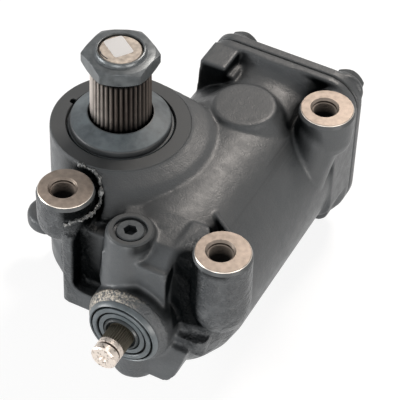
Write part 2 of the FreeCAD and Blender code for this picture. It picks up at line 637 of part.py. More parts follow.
def end_cover():
    """Square end cover with a spigot in the bore, a shallow dome and four bolt bosses."""
    y0 = FLANGE_Y + GASKET_T
    y1 = y0 + COVER_T
    plate = flange_outline(y0, y1 - 2.0)
    lip = flange_outline(y1 - 2.5, y1, 2.0)
    dome = revolve_y([(0, y1 - 1.0), (COVER_DISH_R + 6.0, y1 - 1.0), (COVER_DISH_R, y1 + COVER_DISH_H),
                      (COVER_DISH_R - 5.0, y1 + COVER_DISH_H), (COVER_DISH_R - 9.0, y1 + 3.0), (0, y1 + 3.0)])
    spigot = revolve_y([(BORE_R - 10.0, y0 - COVER_SPIGOT), (BORE_R - SEAT_GAP - 1.0, y0 - COVER_SPIGOT),
                        (BORE_R - SEAT_GAP, y0 - COVER_SPIGOT + 1.0), (BORE_R - SEAT_GAP, y0 + 1.0),
                        (BORE_R - 12.0, y0 + 1.0)])
    bosses = [Part.makeCone(BOLT_BOSS_R + 1.0, BOLT_BOSS_R, BOLT_BOSS_H + 1.0, Vector(x, y1 - 1.0, z), Y_AXIS)
              for x, z in END_BOLTS]
    body = fuse_all([plate, lip, dome, spigot] + bosses)
    hole_length = COVER_T + BOLT_BOSS_H + CUT_PAST
    holes = [cylinder(END_BOLT_R + SEAT_GAP, hole_length, Vector(x, y0 - 5.0, z), Y_AXIS)
             for x, z in END_BOLTS]
    return cut_all(body, holes)


def end_cover_gasket():
    body = flange_outline(FLANGE_Y, FLANGE_Y + GASKET_T, 1.2)
    tools = [cylinder(BORE_R + FREE_GAP, 4.0, Vector(AXIS_X, FLANGE_Y - 2.0, AXIS_Z), Y_AXIS)]
    for x, z in END_BOLTS:
        tools.append(cylinder(END_BOLT_R + FREE_GAP, 4.0, Vector(x, FLANGE_Y - 2.0, z), Y_AXIS))
    return cut_all(body, tools)


def end_cover_bolts():
    seat = FLANGE_Y + GASKET_T + COVER_T + BOLT_BOSS_H
    length = BOLT_BOSS_H + COVER_T + END_THREAD_DEPTH
    bolts = [hex_bolt(END_BOLT_AF, END_BOLT_HEAD_H, END_BOLT_R, length, Vector(x, seat, z), Y_AXIS)
             for x, z in END_BOLTS]
    return Part.makeCompound(bolts)


def side_cover():
    """Round cover under the sector, with bolt lugs, a spigot for the lower bearing and a hub."""
    low = SIDE_COVER_LOW_Z
    top = JOINT_Z - GASKET_T
    shapes = [revolve_z([(0, SIDE_HUB_LOW_Z), (SIDE_HUB_R - 2.0, SIDE_HUB_LOW_Z), (SIDE_HUB_R + 2.0, low),
                         (SIDE_COVER_R - 2.0, low), (SIDE_COVER_R, low + 2.0), (SIDE_COVER_R, top),
                         (CAVITY_R - SEAT_GAP, top), (CAVITY_R - SEAT_GAP, JOINT_Z + 8.0),
                         (CAVITY_R - 4.0, SPIGOT_TOP_Z), (0, SPIGOT_TOP_Z)])]
    for angle in SIDE_BOLT_ANGLES:
        place = side_bolt_place(angle)
        shapes.append(cylinder(SIDE_LUG_R, top - low, Vector(place.x, place.y, low)))
    body = fuse_all(shapes)
    start = Vector(AXIS_X, CAVITY_FRONT_Y, AXIS_Z)
    tools = [cylinder(BEARING_R, BEARING_W + CUT_PAST, Vector(0, 0, LOWER_BEARING_LOW_Z)),
             cylinder(ADJUSTER_R + SEAT_GAP, 2 * CUT_PAST, Vector(0, 0, SIDE_HUB_LOW_Z - 5.0)),
             cylinder(BORE_R + FREE_GAP, FLANGE_Y - CAVITY_FRONT_Y, start, Y_AXIS)]
    for angle in SIDE_BOLT_ANGLES:
        hole = side_bolt_place(angle) + Vector(0, 0, -CUT_PAST)
        tools.append(cylinder(SIDE_BOLT_R + SEAT_GAP, 2 * CUT_PAST, hole))
    return cut_all(body, tools)


def side_cover_gasket():
    body = ring_z(SIDE_COVER_R - 1.0, CAVITY_R + FREE_GAP, JOINT_Z - GASKET_T, JOINT_Z)
    tools = [cylinder(SIDE_BOLT_R + FREE_GAP, 4.0, side_bolt_place(angle) + Vector(0, 0, -2.0))
             for angle in SIDE_BOLT_ANGLES]
    return cut_all(body, tools)


def side_cover_bolts():
    seat = Vector(0, 0, -GASKET_T - SIDE_COVER_T)
    length = GASKET_T + SIDE_COVER_T + SIDE_BOLT_DEPTH - 2.0
    bolts = []
    for angle in SIDE_BOLT_ANGLES:
        place = side_bolt_place(angle) + seat
        bolts.append(hex_bolt(SIDE_BOLT_AF, SIDE_BOLT_HEAD_H, SIDE_BOLT_R, length, place, DOWN))
    return Part.makeCompound(bolts)


def lash_adjuster():
    """Adjusting screw whose head hangs in the lower end of the sector shaft."""
    head_top = SHAFT_LOW_Z + 9.0
    low = SIDE_HUB_LOW_Z - ADJUSTER_TIP
    return fuse_all([cylinder(ADJUSTER_R, head_top - low, Vector(0, 0, low)),
                     cylinder(ADJUSTER_HEAD_R, ADJUSTER_HEAD_H, Vector(0, 0, head_top - ADJUSTER_HEAD_H))])


def lash_adjuster_locknut():
    nut = hex_prism(LOCKNUT_AF, Vector(0, 0, SIDE_HUB_LOW_Z - LOCKNUT_H), LOCKNUT_H)
    return nut.cut(cylinder(ADJUSTER_R + SEAT_GAP, 2 * CUT_PAST, Vector(0, 0, SIDE_HUB_LOW_Z - CUT_PAST)))


def sector_tooth(index):
    """One involute tooth of the sector, as a prism."""
    base_r = PITCH_R * math.cos(PRESSURE_ANGLE)
    tip_r = PITCH_R + SECTOR_ADD
    root_r = PITCH_R - RACK_ADD - ROOT_GAP
    thickness = math.pi * MODULE / 2 - BACKLASH / 2
    start = thickness / (2 * PITCH_R) + math.tan(PRESSURE_ANGLE) - PRESSURE_ANGLE
    centre = math.radians(index * 360.0 / GEAR_TEETH)
    flank = []
    steps = 5
    for i in range(steps + 1):
        r = base_r + (tip_r - base_r) * i / steps
        alpha = math.acos(min(1.0, base_r / r))
        flank.append((r, start - (math.tan(alpha) - alpha)))
    inner = root_r - 2.0

    def place(r, angle, side):
        a = centre + side * angle
        return Vector(r * math.cos(a), r * math.sin(a), SECTOR_LOW_Z)

    edges = []
    for side in (1, -1):
        curve = Part.BSplineCurve()
        curve.interpolate([place(r, a, side) for r, a in flank])
        edges.append(curve.toShape())
        edges.append(Part.makeLine(place(inner, start, side), place(base_r, start, side)))
    tip_angle = flank[-1][1]
    arc = Part.Arc(place(tip_r, tip_angle, 1), place(tip_r, 0, 1), place(tip_r, tip_angle, -1))
    edges.append(arc.toShape())
    edges.append(Part.makeLine(place(inner, start, 1), place(inner, start, -1)))
    face = Part.Face(Part.Wire(Part.__sortEdges__(edges)))
    return face.extrude(Vector(0, 0, SECTOR_TOP_Z - SECTOR_LOW_Z))


def sector_shaft():
    """Output shaft: lower journal, toothed sector, upper journal, serration and thread."""
    neck_top = SERRATION_TOP_Z + NECK_W
    shaft = revolve_z([(0, SHAFT_LOW_Z), (JOURNAL_R - 1.5, SHAFT_LOW_Z), (JOURNAL_R, SHAFT_LOW_Z + 1.5),
                       (JOURNAL_R, SERRATION_FOOT_Z - 5.0),
                       (SERRATION_R - SERRATION_DEPTH, SERRATION_FOOT_Z - 2.0),
                       (THREAD_NECK_R, SERRATION_FOOT_Z - 2.0), (THREAD_NECK_R, neck_top),
                       (OUTPUT_THREAD_R, neck_top + 1.2), (OUTPUT_THREAD_R, SHAFT_TOP_Z - 1.4),
                       (OUTPUT_THREAD_R - 1.4, SHAFT_TOP_Z), (0, SHAFT_TOP_Z)])
    teeth = serration(SERRATION_TEETH, SERRATION_R, SERRATION_R - SERRATION_TAPER, SERRATION_DEPTH,
                      SERRATION_FOOT_Z - 3.0, SERRATION_TOP_Z)
    edge = revolve_z([(0, SERRATION_FOOT_Z - 4.0), (SERRATION_R + 1.0, SERRATION_FOOT_Z - 4.0),
                      (SERRATION_R + 1.0, SERRATION_TOP_Z - 2.0), (THREAD_NECK_R + 3.0, SERRATION_TOP_Z),
                      (0, SERRATION_TOP_Z)])
    half_span = (SECTOR_TEETH // 2 + 0.4) * 360.0 / GEAR_TEETH
    root_r = PITCH_R - RACK_ADD - ROOT_GAP
    sector_w = SECTOR_TOP_Z - SECTOR_LOW_Z
    blank = Part.makeCylinder(root_r, sector_w, Vector(0, 0, SECTOR_LOW_Z), Z_AXIS, 2 * half_span)
    blank.rotate(Vector(0, 0, 0), Z_AXIS, -half_span)
    gear = [sector_tooth(i - SECTOR_TEETH // 2) for i in range(SECTOR_TEETH)]
    body = fuse_all([shaft, teeth.common(edge), blank] + gear)
    head_room = Vector(0, 0, SHAFT_LOW_Z + 3.5)
    slot = fuse_all([cylinder(ADJUSTER_R + 1.0, CUT_PAST, Vector(0, 0, SHAFT_LOW_Z - 1.0)),
                     cylinder(ADJUSTER_HEAD_R + FREE_GAP, ADJUSTER_HEAD_H + 1.0, head_room)])
    return body.cut(slot)


def output_nut():
    """Thin hexagon nut with a plain collar round the shaft end."""
    top = NUT_BASE_Z + NUT_BODY_H
    corner_r = NUT_AF / math.sqrt(3)
    hexagon = hex_prism(NUT_AF, Vector(0, 0, NUT_BASE_Z), NUT_BODY_H, Z_AXIS, NUT_TURN)
    bevel = revolve_z([(0, NUT_BASE_Z), (corner_r - 5.7, NUT_BASE_Z), (corner_r + 0.2, NUT_BASE_Z + 3.6),
                       (corner_r + 0.2, top - 2.2), (corner_r - 4.2, top), (0, top)])
    collar = revolve_z([(0, top - 1.0), (NUT_COLLAR_R + 2.2, top - 1.0), (NUT_COLLAR_R + 2.2, top + 0.2),
                        (NUT_COLLAR_R + 0.6, top + 0.9), (NUT_COLLAR_R, top + NUT_COLLAR_H - 0.8),
                        (NUT_COLLAR_R - 0.8, top + NUT_COLLAR_H), (0, top + NUT_COLLAR_H)])
    body = fuse_all([hexagon.common(bevel), collar])
    return body.cut(cylinder(OUTPUT_THREAD_R + SEAT_GAP, 2 * CUT_PAST, Vector(0, 0, NUT_BASE_Z - 5.0)))


def sector_bearing(low_z):
    return ring_z(BEARING_R - SEAT_GAP, JOURNAL_R + SLIDE_GAP, low_z, low_z + BEARING_W)


def upper_sector_bearing():
    return sector_bearing(UPPER_BEARING_TOP_Z - BEARING_W)


def lower_sector_bearing():
    return sector_bearing(LOWER_BEARING_LOW_Z)


def sector_oil_seal():
    z1 = -DUST_RECESS_D - SNAP_RING_W
    z0 = z1 - OIL_SEAL_W
    r = OIL_SEAL_R - SEAT_GAP
    lip = JOURNAL_R + SLIDE_GAP
    return revolve_z([(r, z0), (r, z1), (lip + 2.0, z1), (lip, z1 - 2.0), (lip, z1 - 4.0),
                      (lip + 3.0, z1 - 5.0), (r - 2.0, z1 - 5.0), (r - 2.0, z0)])


def seal_snap_ring():
    z1 = -DUST_RECESS_D
    ring = ring_z(OIL_SEAL_R - SEAT_GAP, OIL_SEAL_R - 4.5, z1 - SNAP_RING_W, z1)
    return ring.cut(box(OIL_SEAL_R - 8.0, OIL_SEAL_R + 2.0, -5.0, 5.0, z1 - 5.0, z1 + 5.0))


def sector_dust_seal():
    """Conical rubber dust cap over the recess, with its lip just off the serration."""
    z0 = -DUST_RECESS_D
    grip = JOURNAL_R + SLIDE_GAP
    return revolve_z([(grip, z0), (DUST_SEAL_R, z0), (DUST_SEAL_R, DUST_SEAL_EDGE_Z - 0.8),
                      (DUST_SEAL_R - 0.8, DUST_SEAL_EDGE_Z), (DUST_SEAL_LIP_R + 1.2, DUST_SEAL_LIP_Z),
                      (DUST_SEAL_LIP_R, DUST_SEAL_LIP_Z), (DUST_SEAL_LIP_R, SERRATION_FOOT_Z - 2.0),
                      (grip, SERRATION_FOOT_Z - 4.5)])


def screw_plug():
    z0 = PLUG_TOP_Z - PLUG_RECESS_D
    head = revolve_z([(0, z0), (PLUG_R, z0), (PLUG_R, PLUG_TOP_Z - 1.9), (PLUG_R - 0.9, PLUG_TOP_Z - 1.2),
                      (0, PLUG_TOP_Z - 1.2)], PLUG_X, PLUG_Y)
    stem = cylinder(PLUG_THREAD_R - SEAT_GAP, PLUG_LENGTH, Vector(PLUG_X, PLUG_Y, z0 - PLUG_LENGTH + 1.0))
    socket = hex_prism(PLUG_SOCKET_AF, Vector(PLUG_X, PLUG_Y, PLUG_TOP_Z - 8.0), 10.0, Z_AXIS, 12.0)
    return fuse_all([head, stem]).cut(socket)


def piston_blank():
    """Round piston with a flat for the rack, a ring groove and a stepped well for the worm."""
    body = revolve_y([(0, PISTON_FRONT_Y), (PISTON_R - 1.5, PISTON_FRONT_Y),
                      (PISTON_R, PISTON_FRONT_Y + 1.5), (PISTON_R, RING_Y), (PISTON_R - RING_DEPTH, RING_Y),
                      (PISTON_R - RING_DEPTH, RING_Y + RING_W), (PISTON_R, RING_Y + RING_W),
                      (PISTON_R, PISTON_REAR_Y - 1.5), (PISTON_R - 1.5, PISTON_REAR_Y), (0, PISTON_REAR_Y)])
    well = cylinder(NUT_BORE_R, WORM_WELL_END_Y - PISTON_FRONT_Y + 1.0,
                    Vector(AXIS_X, PISTON_FRONT_Y - 1.0, AXIS_Z), Y_AXIS)
    return body.cut(well)


def rack_gaps():
    """The flat of the rack and the gaps that the sector teeth run in."""
    z0 = AXIS_Z - PISTON_R - 2.0
    height = Vector(0, 0, 2 * PISTON_R + 4.0)
    tip_x = PITCH_R - RACK_ADD
    root_x = PITCH_R + SECTOR_ADD + ROOT_GAP
    tools = [box(AXIS_X - PISTON_R - 2.0, tip_x, PISTON_FRONT_Y - 2.0, RACK_END_Y, z0, z0 + height.z)]
    slope = math.tan(PRESSURE_ANGLE)
    half_pitch = math.pi * MODULE / 4 + BACKLASH / 4
    half_tip = half_pitch + (PITCH_R - tip_x + 0.5) * slope
    half_root = half_pitch - (root_x - PITCH_R) * slope
    for i in range(SECTOR_TEETH):
        y = (i - SECTOR_TEETH // 2) * math.pi * MODULE
        tools.append(prism([Vector(tip_x - 0.5, y - half_tip, z0), Vector(tip_x - 0.5, y + half_tip, z0),
                            Vector(root_x, y + half_root, z0), Vector(root_x, y - half_root, z0)], height))
    return tools


def ball_groove(start_y, turns, radius):
    """Round groove along the ball path about the Z axis, as a solid to cut away."""
    path = Part.Wire(Part.makeHelix(LEAD, LEAD * turns, BALL_CIRCLE_R).Edges)
    edge = path.Edges[0]
    start = edge.FirstParameter
    section = Part.Wire(Part.makeCircle(radius, edge.valueAt(start), edge.tangentAt(start)))
    groove = path.makePipeShell([section], True, True)
    groove.rotate(Vector(0, 0, 0), Z_AXIS, 360.0 * start_y / LEAD)
    groove.translate(Vector(0, 0, start_y))
    return groove


def ball_place(index):
    """Centre of one ball, on the same helix as the grooves."""
    y = TRACK_START_Y + LEAD * (index + 0.5) / BALLS_PER_TURN
    angle = 2 * math.pi * y / LEAD
    return Vector(AXIS_X + BALL_CIRCLE_R * math.cos(angle), y, AXIS_Z - BALL_CIRCLE_R * math.sin(angle))


def rack_piston():
    turns = (BALL_COUNT + 1) / BALLS_PER_TURN
    track = onto_piston_axis(ball_groove(TRACK_START_Y, turns, BALL_R + TRACK_GAP))
    return piston_blank().cut(rack_gaps() + [track])


def bearing_balls():
    return Part.makeCompound([Part.makeSphere(BALL_R, ball_place(i)) for i in range(BALL_COUNT)])


def piston_seal_ring():
    inner = PISTON_R - RING_DEPTH + SEAT_GAP
    return ring_y(BORE_R - SLIDE_GAP / 2, inner, RING_Y + SEAT_GAP, RING_Y + RING_W - SEAT_GAP)


def worm():
    """Worm with its ball groove, bearing seat and the head that carries the valve sleeve."""
    head_front = SLEEVE_FRONT_Y + SLEEVE_W
    collar_end = CAVITY_FRONT_Y + WORM_SHOULDER_W
    screw = Part.makeCylinder(WORM_R, WORM_END_Y - collar_end, Vector(0, 0, collar_end))
    screw = screw.cut(ball_groove(WORM_THREAD_START_Y, WORM_THREAD_TURNS, BALL_R + BALL_GAP))
    head = revolve_z([(0, head_front), (WORM_HEAD_R, head_front), (WORM_HEAD_R, CAVITY_FRONT_Y),
                      (WORM_HEAD_R + 2.0, CAVITY_FRONT_Y), (WORM_HEAD_R + 2.0, collar_end), (0, collar_end)])
    hole = Part.makeCylinder(WORM_HOLE_R, WORM_END_Y - head_front + 2.0, Vector(0, 0, head_front - 1.0))
    return onto_piston_axis(screw.fuse(head).cut(hole))


def valve_sleeve():
    """Rotary valve sleeve with ring grooves for the oil passages."""
    y0 = SLEEVE_FRONT_Y
    y1 = SLEEVE_FRONT_Y + SLEEVE_W - SEAT_GAP
    body = ring_y(SLEEVE_R, SLEEVE_BORE_R, y0, y1)
    grooves = []
    step = (y1 - y0) / SLEEVE_GROOVES
    for i in range(SLEEVE_GROOVES):
        middle = y0 + step * (i + 0.5)
        grooves.append(ring_y(SLEEVE_R + 1.0, SLEEVE_R - 1.8, middle - 1.2, middle + 1.2))
    return body.cut(grooves)


def worm_bearing():
    y0 = BEARING_FRONT_Y + SEAT_GAP
    return ring_y(WORM_BEARING_R - SEAT_GAP, WORM_HEAD_R + SLIDE_GAP, y0, CAVITY_FRONT_Y - SEAT_GAP)


def torsion_bar():
    length = WORM_END_Y - TORSION_BAR_SHORT - BAR_FRONT_Y
    return cylinder(TORSION_BAR_R, length, Vector(AXIS_X, BAR_FRONT_Y, AXIS_Z), Y_AXIS)


def input_shaft():
    """Serrated input shaft with a clamp groove at its tip and the valve rotor inside."""
    tip = INPUT_END_Y
    groove0 = tip + INPUT_TIP_W
    groove1 = groove0 + CLAMP_GROOVE_W
    ring_end = groove1 + INPUT_RING_W
    rotor_end = SLEEVE_FRONT_Y + SLEEVE_W - 1.0
    core_r = INPUT_R - INPUT_TOOTH_DEPTH - 0.3
    rotor_r = SLEEVE_BORE_R - SLIDE_GAP
    core = revolve_y([(0, tip), (INPUT_R - 1.2, tip), (INPUT_R, tip + 1.2), (INPUT_R, groove0),
                      (CLAMP_GROOVE_R, groove0 + 0.8), (CLAMP_GROOVE_R, groove1 - 0.8), (INPUT_R, groove1),
                      (INPUT_R, ring_end), (core_r, ring_end), (core_r, NOSE_Y + 0.5),
                      (INPUT_R, NOSE_Y + 0.5), (INPUT_R, SLEEVE_FRONT_Y - 0.5), (rotor_r, SLEEVE_FRONT_Y),
                      (rotor_r, rotor_end), (0, rotor_end)])
    teeth = serration(INPUT_TEETH, INPUT_R, INPUT_R, INPUT_TOOTH_DEPTH, ring_end + 0.5, NOSE_Y - 0.5)
    centre = revolve_y([(0, tip - 0.1), (3.2, tip - 0.1), (1.6, tip + 2.6), (1.6, tip + 7.0), (0, tip + 8.0)])
    bore_start = Vector(AXIS_X, BAR_FRONT_Y - FREE_GAP, AXIS_Z)
    bore = cylinder(TORSION_BAR_R + SEAT_GAP, rotor_end - bore_start.y + 1.0, bore_start, Y_AXIS)
    return fuse_all([core, onto_piston_axis(teeth)]).cut([centre, bore])


def input_oil_seal():
    y0 = SEAL_FRONT_Y
    r = NOSE_BORE_R - SEAT_GAP
    lip = INPUT_R + SLIDE_GAP
    return revolve_y([(r, y0), (lip, y0), (lip, y0 + 2.0), (lip + 3.0, y0 + 2.5), (r - 3.0, y0 + 2.5),
                      (r - 3.0, y0 + INPUT_SEAL_W), (r, y0 + INPUT_SEAL_W)])


def input_dust_boot():
    """Rubber cap over the end of the nose, with raised rings and a lip on the shaft."""
    r = NOSE_BORE_R
    grip = INPUT_R + SLIDE_GAP
    front = NOSE_Y
    return revolve_y([(r - SEAT_GAP, BOOT_BACK_Y), (grip, BOOT_BACK_Y), (grip, front + 0.8),
                      (grip + 1.0, front + 0.8), (grip + 2.4, front - 1.6), (grip + 4.0, front - 1.6),
                      (grip + 5.0, front + 0.6), (r - 5.6, front + 0.6), (r - 5.0, front - 0.6),
                      (r - 3.6, front - 0.6), (r - 3.2, front + 0.6), (r - 2.2, front + 0.6),
                      (r - 1.8, front - 0.4), (r + 0.6, front - 0.4),
                      (BOOT_R, front + 2.0), (BOOT_R, RIM_Y - SEAT_GAP), (r - SEAT_GAP, RIM_Y - SEAT_GAP)])


PARTS = {
    "gear_housing": gear_housing,
    "end_cover": end_cover,
    "end_cover_gasket": end_cover_gasket,
    "end_cover_bolts": end_cover_bolts,
    "side_cover": side_cover,
    "side_cover_gasket": side_cover_gasket,
    "side_cover_bolts": side_cover_bolts,
    "lash_adjuster": lash_adjuster,
    "lash_adjuster_locknut": lash_adjuster_locknut,
    "sector_shaft": sector_shaft,
    "output_nut": output_nut,
    "upper_sector_bearing": upper_sector_bearing,
    "lower_sector_bearing": lower_sector_bearing,
    "sector_oil_seal": sector_oil_seal,
    "seal_snap_ring": seal_snap_ring,
    "sector_dust_seal": sector_dust_seal,
    "screw_plug": screw_plug,
    "rack_piston": rack_piston,
    "piston_seal_ring": piston_seal_ring,
    "bearing_balls": bearing_balls,
    "worm": worm,
    "valve_sleeve": valve_sleeve,
    "worm_bearing": worm_bearing,
    "torsion_bar": torsion_bar,
    "input_shaft": input_shaft,
    "input_oil_seal": input_oil_seal,
    "input_dust_boot": input_dust_boot,
}

for part_name, make in PARTS.items():
    save(part_name, make())
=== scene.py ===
import math
import bpy
import numpy as np
from mathutils import Matrix, Vector
from mathutils.bvhtree import BVHTree


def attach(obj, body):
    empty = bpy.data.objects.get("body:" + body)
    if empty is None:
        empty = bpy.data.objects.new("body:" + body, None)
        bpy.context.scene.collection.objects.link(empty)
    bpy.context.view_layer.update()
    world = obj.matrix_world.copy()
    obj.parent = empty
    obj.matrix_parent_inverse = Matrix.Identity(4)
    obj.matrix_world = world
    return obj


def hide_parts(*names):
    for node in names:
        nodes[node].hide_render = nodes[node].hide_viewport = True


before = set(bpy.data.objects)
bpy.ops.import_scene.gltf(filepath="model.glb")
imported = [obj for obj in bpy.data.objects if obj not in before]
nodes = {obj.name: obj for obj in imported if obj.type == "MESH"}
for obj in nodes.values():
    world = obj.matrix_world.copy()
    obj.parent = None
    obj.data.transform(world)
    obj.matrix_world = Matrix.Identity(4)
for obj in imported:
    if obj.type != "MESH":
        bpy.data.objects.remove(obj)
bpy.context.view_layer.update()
MM = 0.001

# Places, in millimetres. The sector shaft stands on Z, the piston and the input shaft lie along Y.
COLUMNS = ((0.0, -88.0), (139.3, -88.0), (139.3, 97.9))  # near left, near right and far right
HOLES = ((-2.0, -88.5), (137.3, -88.5), (137.3, 97.4))   # their tapped holes
PISTON = (76.0, 0.0, -85.0)
PLUG = (62.3, -95.0, 0.0)
NOTCH = (-46.0, 2.4, 0.0)  # in the rim of the dust seal's recess, where the photo has it
END_BOLTS = ((34.0, -20.0), (133.5, -20.0), (128.5, -138.0), (34.0, -140.0))  # X and Z
END_BOLT_SEAT_Y = 151.1
SIDE_BOLT_ANGLES = (24.0, 84.0, 135.0, 186.0, 264.0, 324.0)
SIDE_BOLT_CIRCLE_R = 54.0
SIDE_BOLT_SEAT_Z = -161.6
FLOOR_Z = -173.7  # just under the lowest point of the object

# Mounting faces: where the bare face gives way to paint, then the thread's core and pitch and the sleeve
# that carries it
BARE_FACE_R = 21.9
CORE_R = 10.2
THREAD_PITCH = 1.5
SLEEVE_R = 12.3

# Nut of the sector shaft, and the label on the shaft's end with its corners' X and Y
NUT_ACROSS_FLATS = 55.0
NUT_HEIGHT = 13.0
NUT_MIDDLE_Z = 68.0
NUT_TURN = -2.0
LABEL_CORNERS = ((-17.3, 2.4), (-7.6, 16.0), (10.9, 3.4), (0.9, -12.2))
LABEL_MIDDLE_Z = 76.72
LABEL_THICK = 0.1

# Painted shade on the casting: near-black spots where shadow falls beside the near columns and under the
# near right column's face and the plug's boss: the spot's middle, the radius where it ends and the one where
# it is full, the height that it reaches down to, and its strength
PAINTED_SHADE_SPOTS = (
    ((18.0, -99.0, 0.0), 16.5, 11.5, -11.0, 1.0),    # right of the near left column
    ((117.0, -101.0, 0.0), 20.0, 13.0, -78.0, 1.0),  # left of the near right column
    ((143.0, -110.5, 0.0), 13.0, 8.0, -3.5, 1.0),    # under the face of the near right column
    ((79.5, -105.5, 0.0), 13.0, 6.5, -15.0, 0.8),    # under the plug's boss
)
PAINTED_SHADE_FADE = 6.0  # height over which each of them fades out downwards

# Factors that drop a vector's part along an axis, so that its length is the distance from the axis
ACROSS_Z = (1.0, 1.0, 0.0)
ACROSS_Y = (1.0, 0.0, 1.0)
GOLDEN_ANGLE = math.pi * (3 - math.sqrt(5))


# Mesh tools

def only(obj):
    """Leave one object selected and active."""
    bpy.ops.object.select_all(action="DESELECT")
    obj.select_set(True)
    bpy.context.view_layer.objects.active = obj


def edit(obj, everything=True):
    """Go into edit mode with all of the mesh selected, or nothing."""
    only(obj)
    bpy.ops.object.mode_set(mode="EDIT")
    bpy.ops.mesh.select_all(action="SELECT" if everything else "DESELECT")


def leave_edit():
    bpy.ops.object.mode_set(mode="OBJECT")


def clean(obj):
    """Merge doubles, then turn the faces outwards."""
    edit(obj)
    bpy.ops.mesh.remove_doubles(threshold=0.01 * MM)
    bpy.ops.mesh.normals_make_consistent(inside=False)
    leave_edit()


def settle(obj):
    """Put the object's place and turn into its mesh."""
    only(obj)
    bpy.ops.object.transform_apply(location=True, rotation=True, scale=True)


def smooth_by_angle(obj, degrees):
    only(obj)
    bpy.ops.object.shade_smooth_by_angle(angle=math.radians(degrees))


def modify(obj, kind, **settings):
    """Add a modifier and apply it."""
    only(obj)
    modifier = obj.modifiers.new(kind.lower(), kind)
    for key, value in settings.items():
        setattr(modifier, key, value)
    bpy.ops.object.modifier_apply(modifier=modifier.name)


def named(obj, name):
    obj.name = name
    obj.data.name = name
    return obj


def linked(data, name):
    obj = bpy.data.objects.new(name, data)
    bpy.context.scene.collection.objects.link(obj)
    return named(obj, name)


def merged_copy(node, name):
    """Copy of a CAD node with its loose triangles joined."""
    obj = linked(nodes[node].data.copy(), name)
    clean(obj)
    if obj.data.has_custom_normals:
        bpy.ops.mesh.customdata_custom_splitnormals_clear()
    return obj


def copied(obj, name, offset):
    """Copy with its own mesh, moved by an offset in millimetres."""
    twin = linked(obj.data.copy(), name)
    twin.location = Vector(offset) * MM
    settle(twin)
    return twin


def joined(objects, name):
    bpy.ops.object.select_all(action="DESELECT")
    for obj in objects:
        obj.select_set(True)
    bpy.context.view_layer.objects.active = objects[0]
    if len(objects) > 1:
        bpy.ops.object.join()
    return named(objects[0], name)


def fill_ends():
    """Close the open borders of the mesh in edit mode."""
    bpy.ops.mesh.select_all(action="DESELECT")
    bpy.ops.mesh.select_mode(type="EDGE")
    bpy.ops.mesh.select_non_manifold()
    bpy.ops.mesh.edge_face_add()


def turned(name, profile, centre=(0.0, 0.0, 0.0), along="Z", segments=96, closed=True, angle=35.0):
    """Lathe-turned piece from (radius, height) corners in millimetres, about Z or Y through the centre."""
    radius, height = profile[0]
    bpy.ops.object.select_all(action="DESELECT")
    bpy.ops.mesh.primitive_circle_add(vertices=segments, radius=radius * MM, fill_type="NOTHING",
                                      location=(0, 0, height * MM))
    obj = named(bpy.context.object, name)
    settle(obj)
    edit(obj)
    corners = list(profile[1:]) + ([profile[0]] if closed else [])
    for next_radius, next_height in corners:
        bpy.ops.mesh.extrude_region_move(
            TRANSFORM_OT_translate={"value": (0, 0, (next_height - height) * MM)})
        factor = next_radius / radius
        bpy.ops.transform.resize(value=(factor, factor, 1), center_override=(0, 0, next_height * MM))
        radius, height = next_radius, next_height
    if not closed:
        fill_ends()
    leave_edit()
    clean(obj)
    if along == "Y":
        obj.rotation_euler = (math.radians(-90), 0, 0)
    obj.location = Vector(centre) * MM
    settle(obj)
    smooth_by_angle(obj, angle)
    return obj


def rod(name, radius, low, high, centre, segments=64):
    """Plain closed cylinder along Z, for cutting."""
    return turned(name, [(radius, low), (radius, high)], centre, segments=segments, closed=False)


def combine(body, tool, operation):
    """Boolean of a body with another closed piece, which is used up."""
    modify(body, "BOOLEAN", operation=operation, object=tool, solver="MANIFOLD")
    bpy.data.objects.remove(tool)


def tube(name, points, thick):
    """Thin round bead through a list of points in millimetres."""
    curve = bpy.data.curves.new(name, "CURVE")
    curve.dimensions = "3D"
    curve.bevel_depth = thick * MM
    curve.use_fill_caps = True
    line = curve.splines.new("POLY")
    line.points.add(len(points) - 1)
    for point, place in zip(line.points, points):
        point.co = tuple(Vector(place) * MM) + (1.0,)
    only(linked(curve, name))
    bpy.ops.object.convert(target="MESH")
    return bpy.context.object


def cast_skin(node, name, voxel, passes, limit):
    """Merged copy of a casting whose edges are rounded as sand casting rounds them."""
    obj = merged_copy(node, name)
    modify(obj, "REMESH", mode="VOXEL", voxel_size=voxel * MM)
    modify(obj, "SMOOTH", factor=0.5, iterations=passes)
    triangles = sum(len(face.vertices) - 2 for face in obj.data.polygons)
    if triangles > limit:
        modify(obj, "DECIMATE", ratio=limit / triangles)
    return obj


def mark_shelter(obj, reach=90.0, directions=48, blurs=4, lift=0.6, grazing=0.1):
    """Store on each vertex how much of the view outwards the piece itself shuts off, from 0 to 1.

    The rays are reach millimetres long and start lift millimetres off the surface, in fixed directions spread
    evenly over the sphere. Those that leave the surface flatter than grazing don't count.
    """
    mesh = obj.data
    tree = BVHTree.FromPolygons([vertex.co.copy() for vertex in mesh.vertices],
                                [tuple(face.vertices) for face in mesh.polygons])
    rays = []
    for i in range(directions):
        height = 1 - (2 * i + 1) / directions
        turn = i * GOLDEN_ANGLE
        flat = math.sqrt(1 - height * height)
        rays.append(Vector((flat * math.cos(turn), flat * math.sin(turn), height)))
    shut = np.zeros(len(mesh.vertices))
    for i, vertex in enumerate(mesh.vertices):
        normal = vertex.normal
        start = vertex.co + normal * lift * MM
        seen = blocked = 0.0
        for ray in rays:
            facing = normal.dot(ray)
            if facing > grazing:
                seen += facing
                if tree.ray_cast(start, ray, reach * MM)[0] is not None:
                    blocked += facing
        shut[i] = blocked / seen
    ends = np.empty(2 * len(mesh.edges), dtype=np.int64)
    mesh.edges.foreach_get("vertices", ends)
    first, second = ends[0::2], ends[1::2]
    neighbours = np.bincount(ends, minlength=len(shut))
    for _ in range(blurs):
        around = np.bincount(first, shut[second], len(shut)) + np.bincount(second, shut[first], len(shut))
        shut = (shut + around) / (1 + neighbours)
    mesh.attributes.new("shelter", "FLOAT", "POINT").data.foreach_set("value", shut)


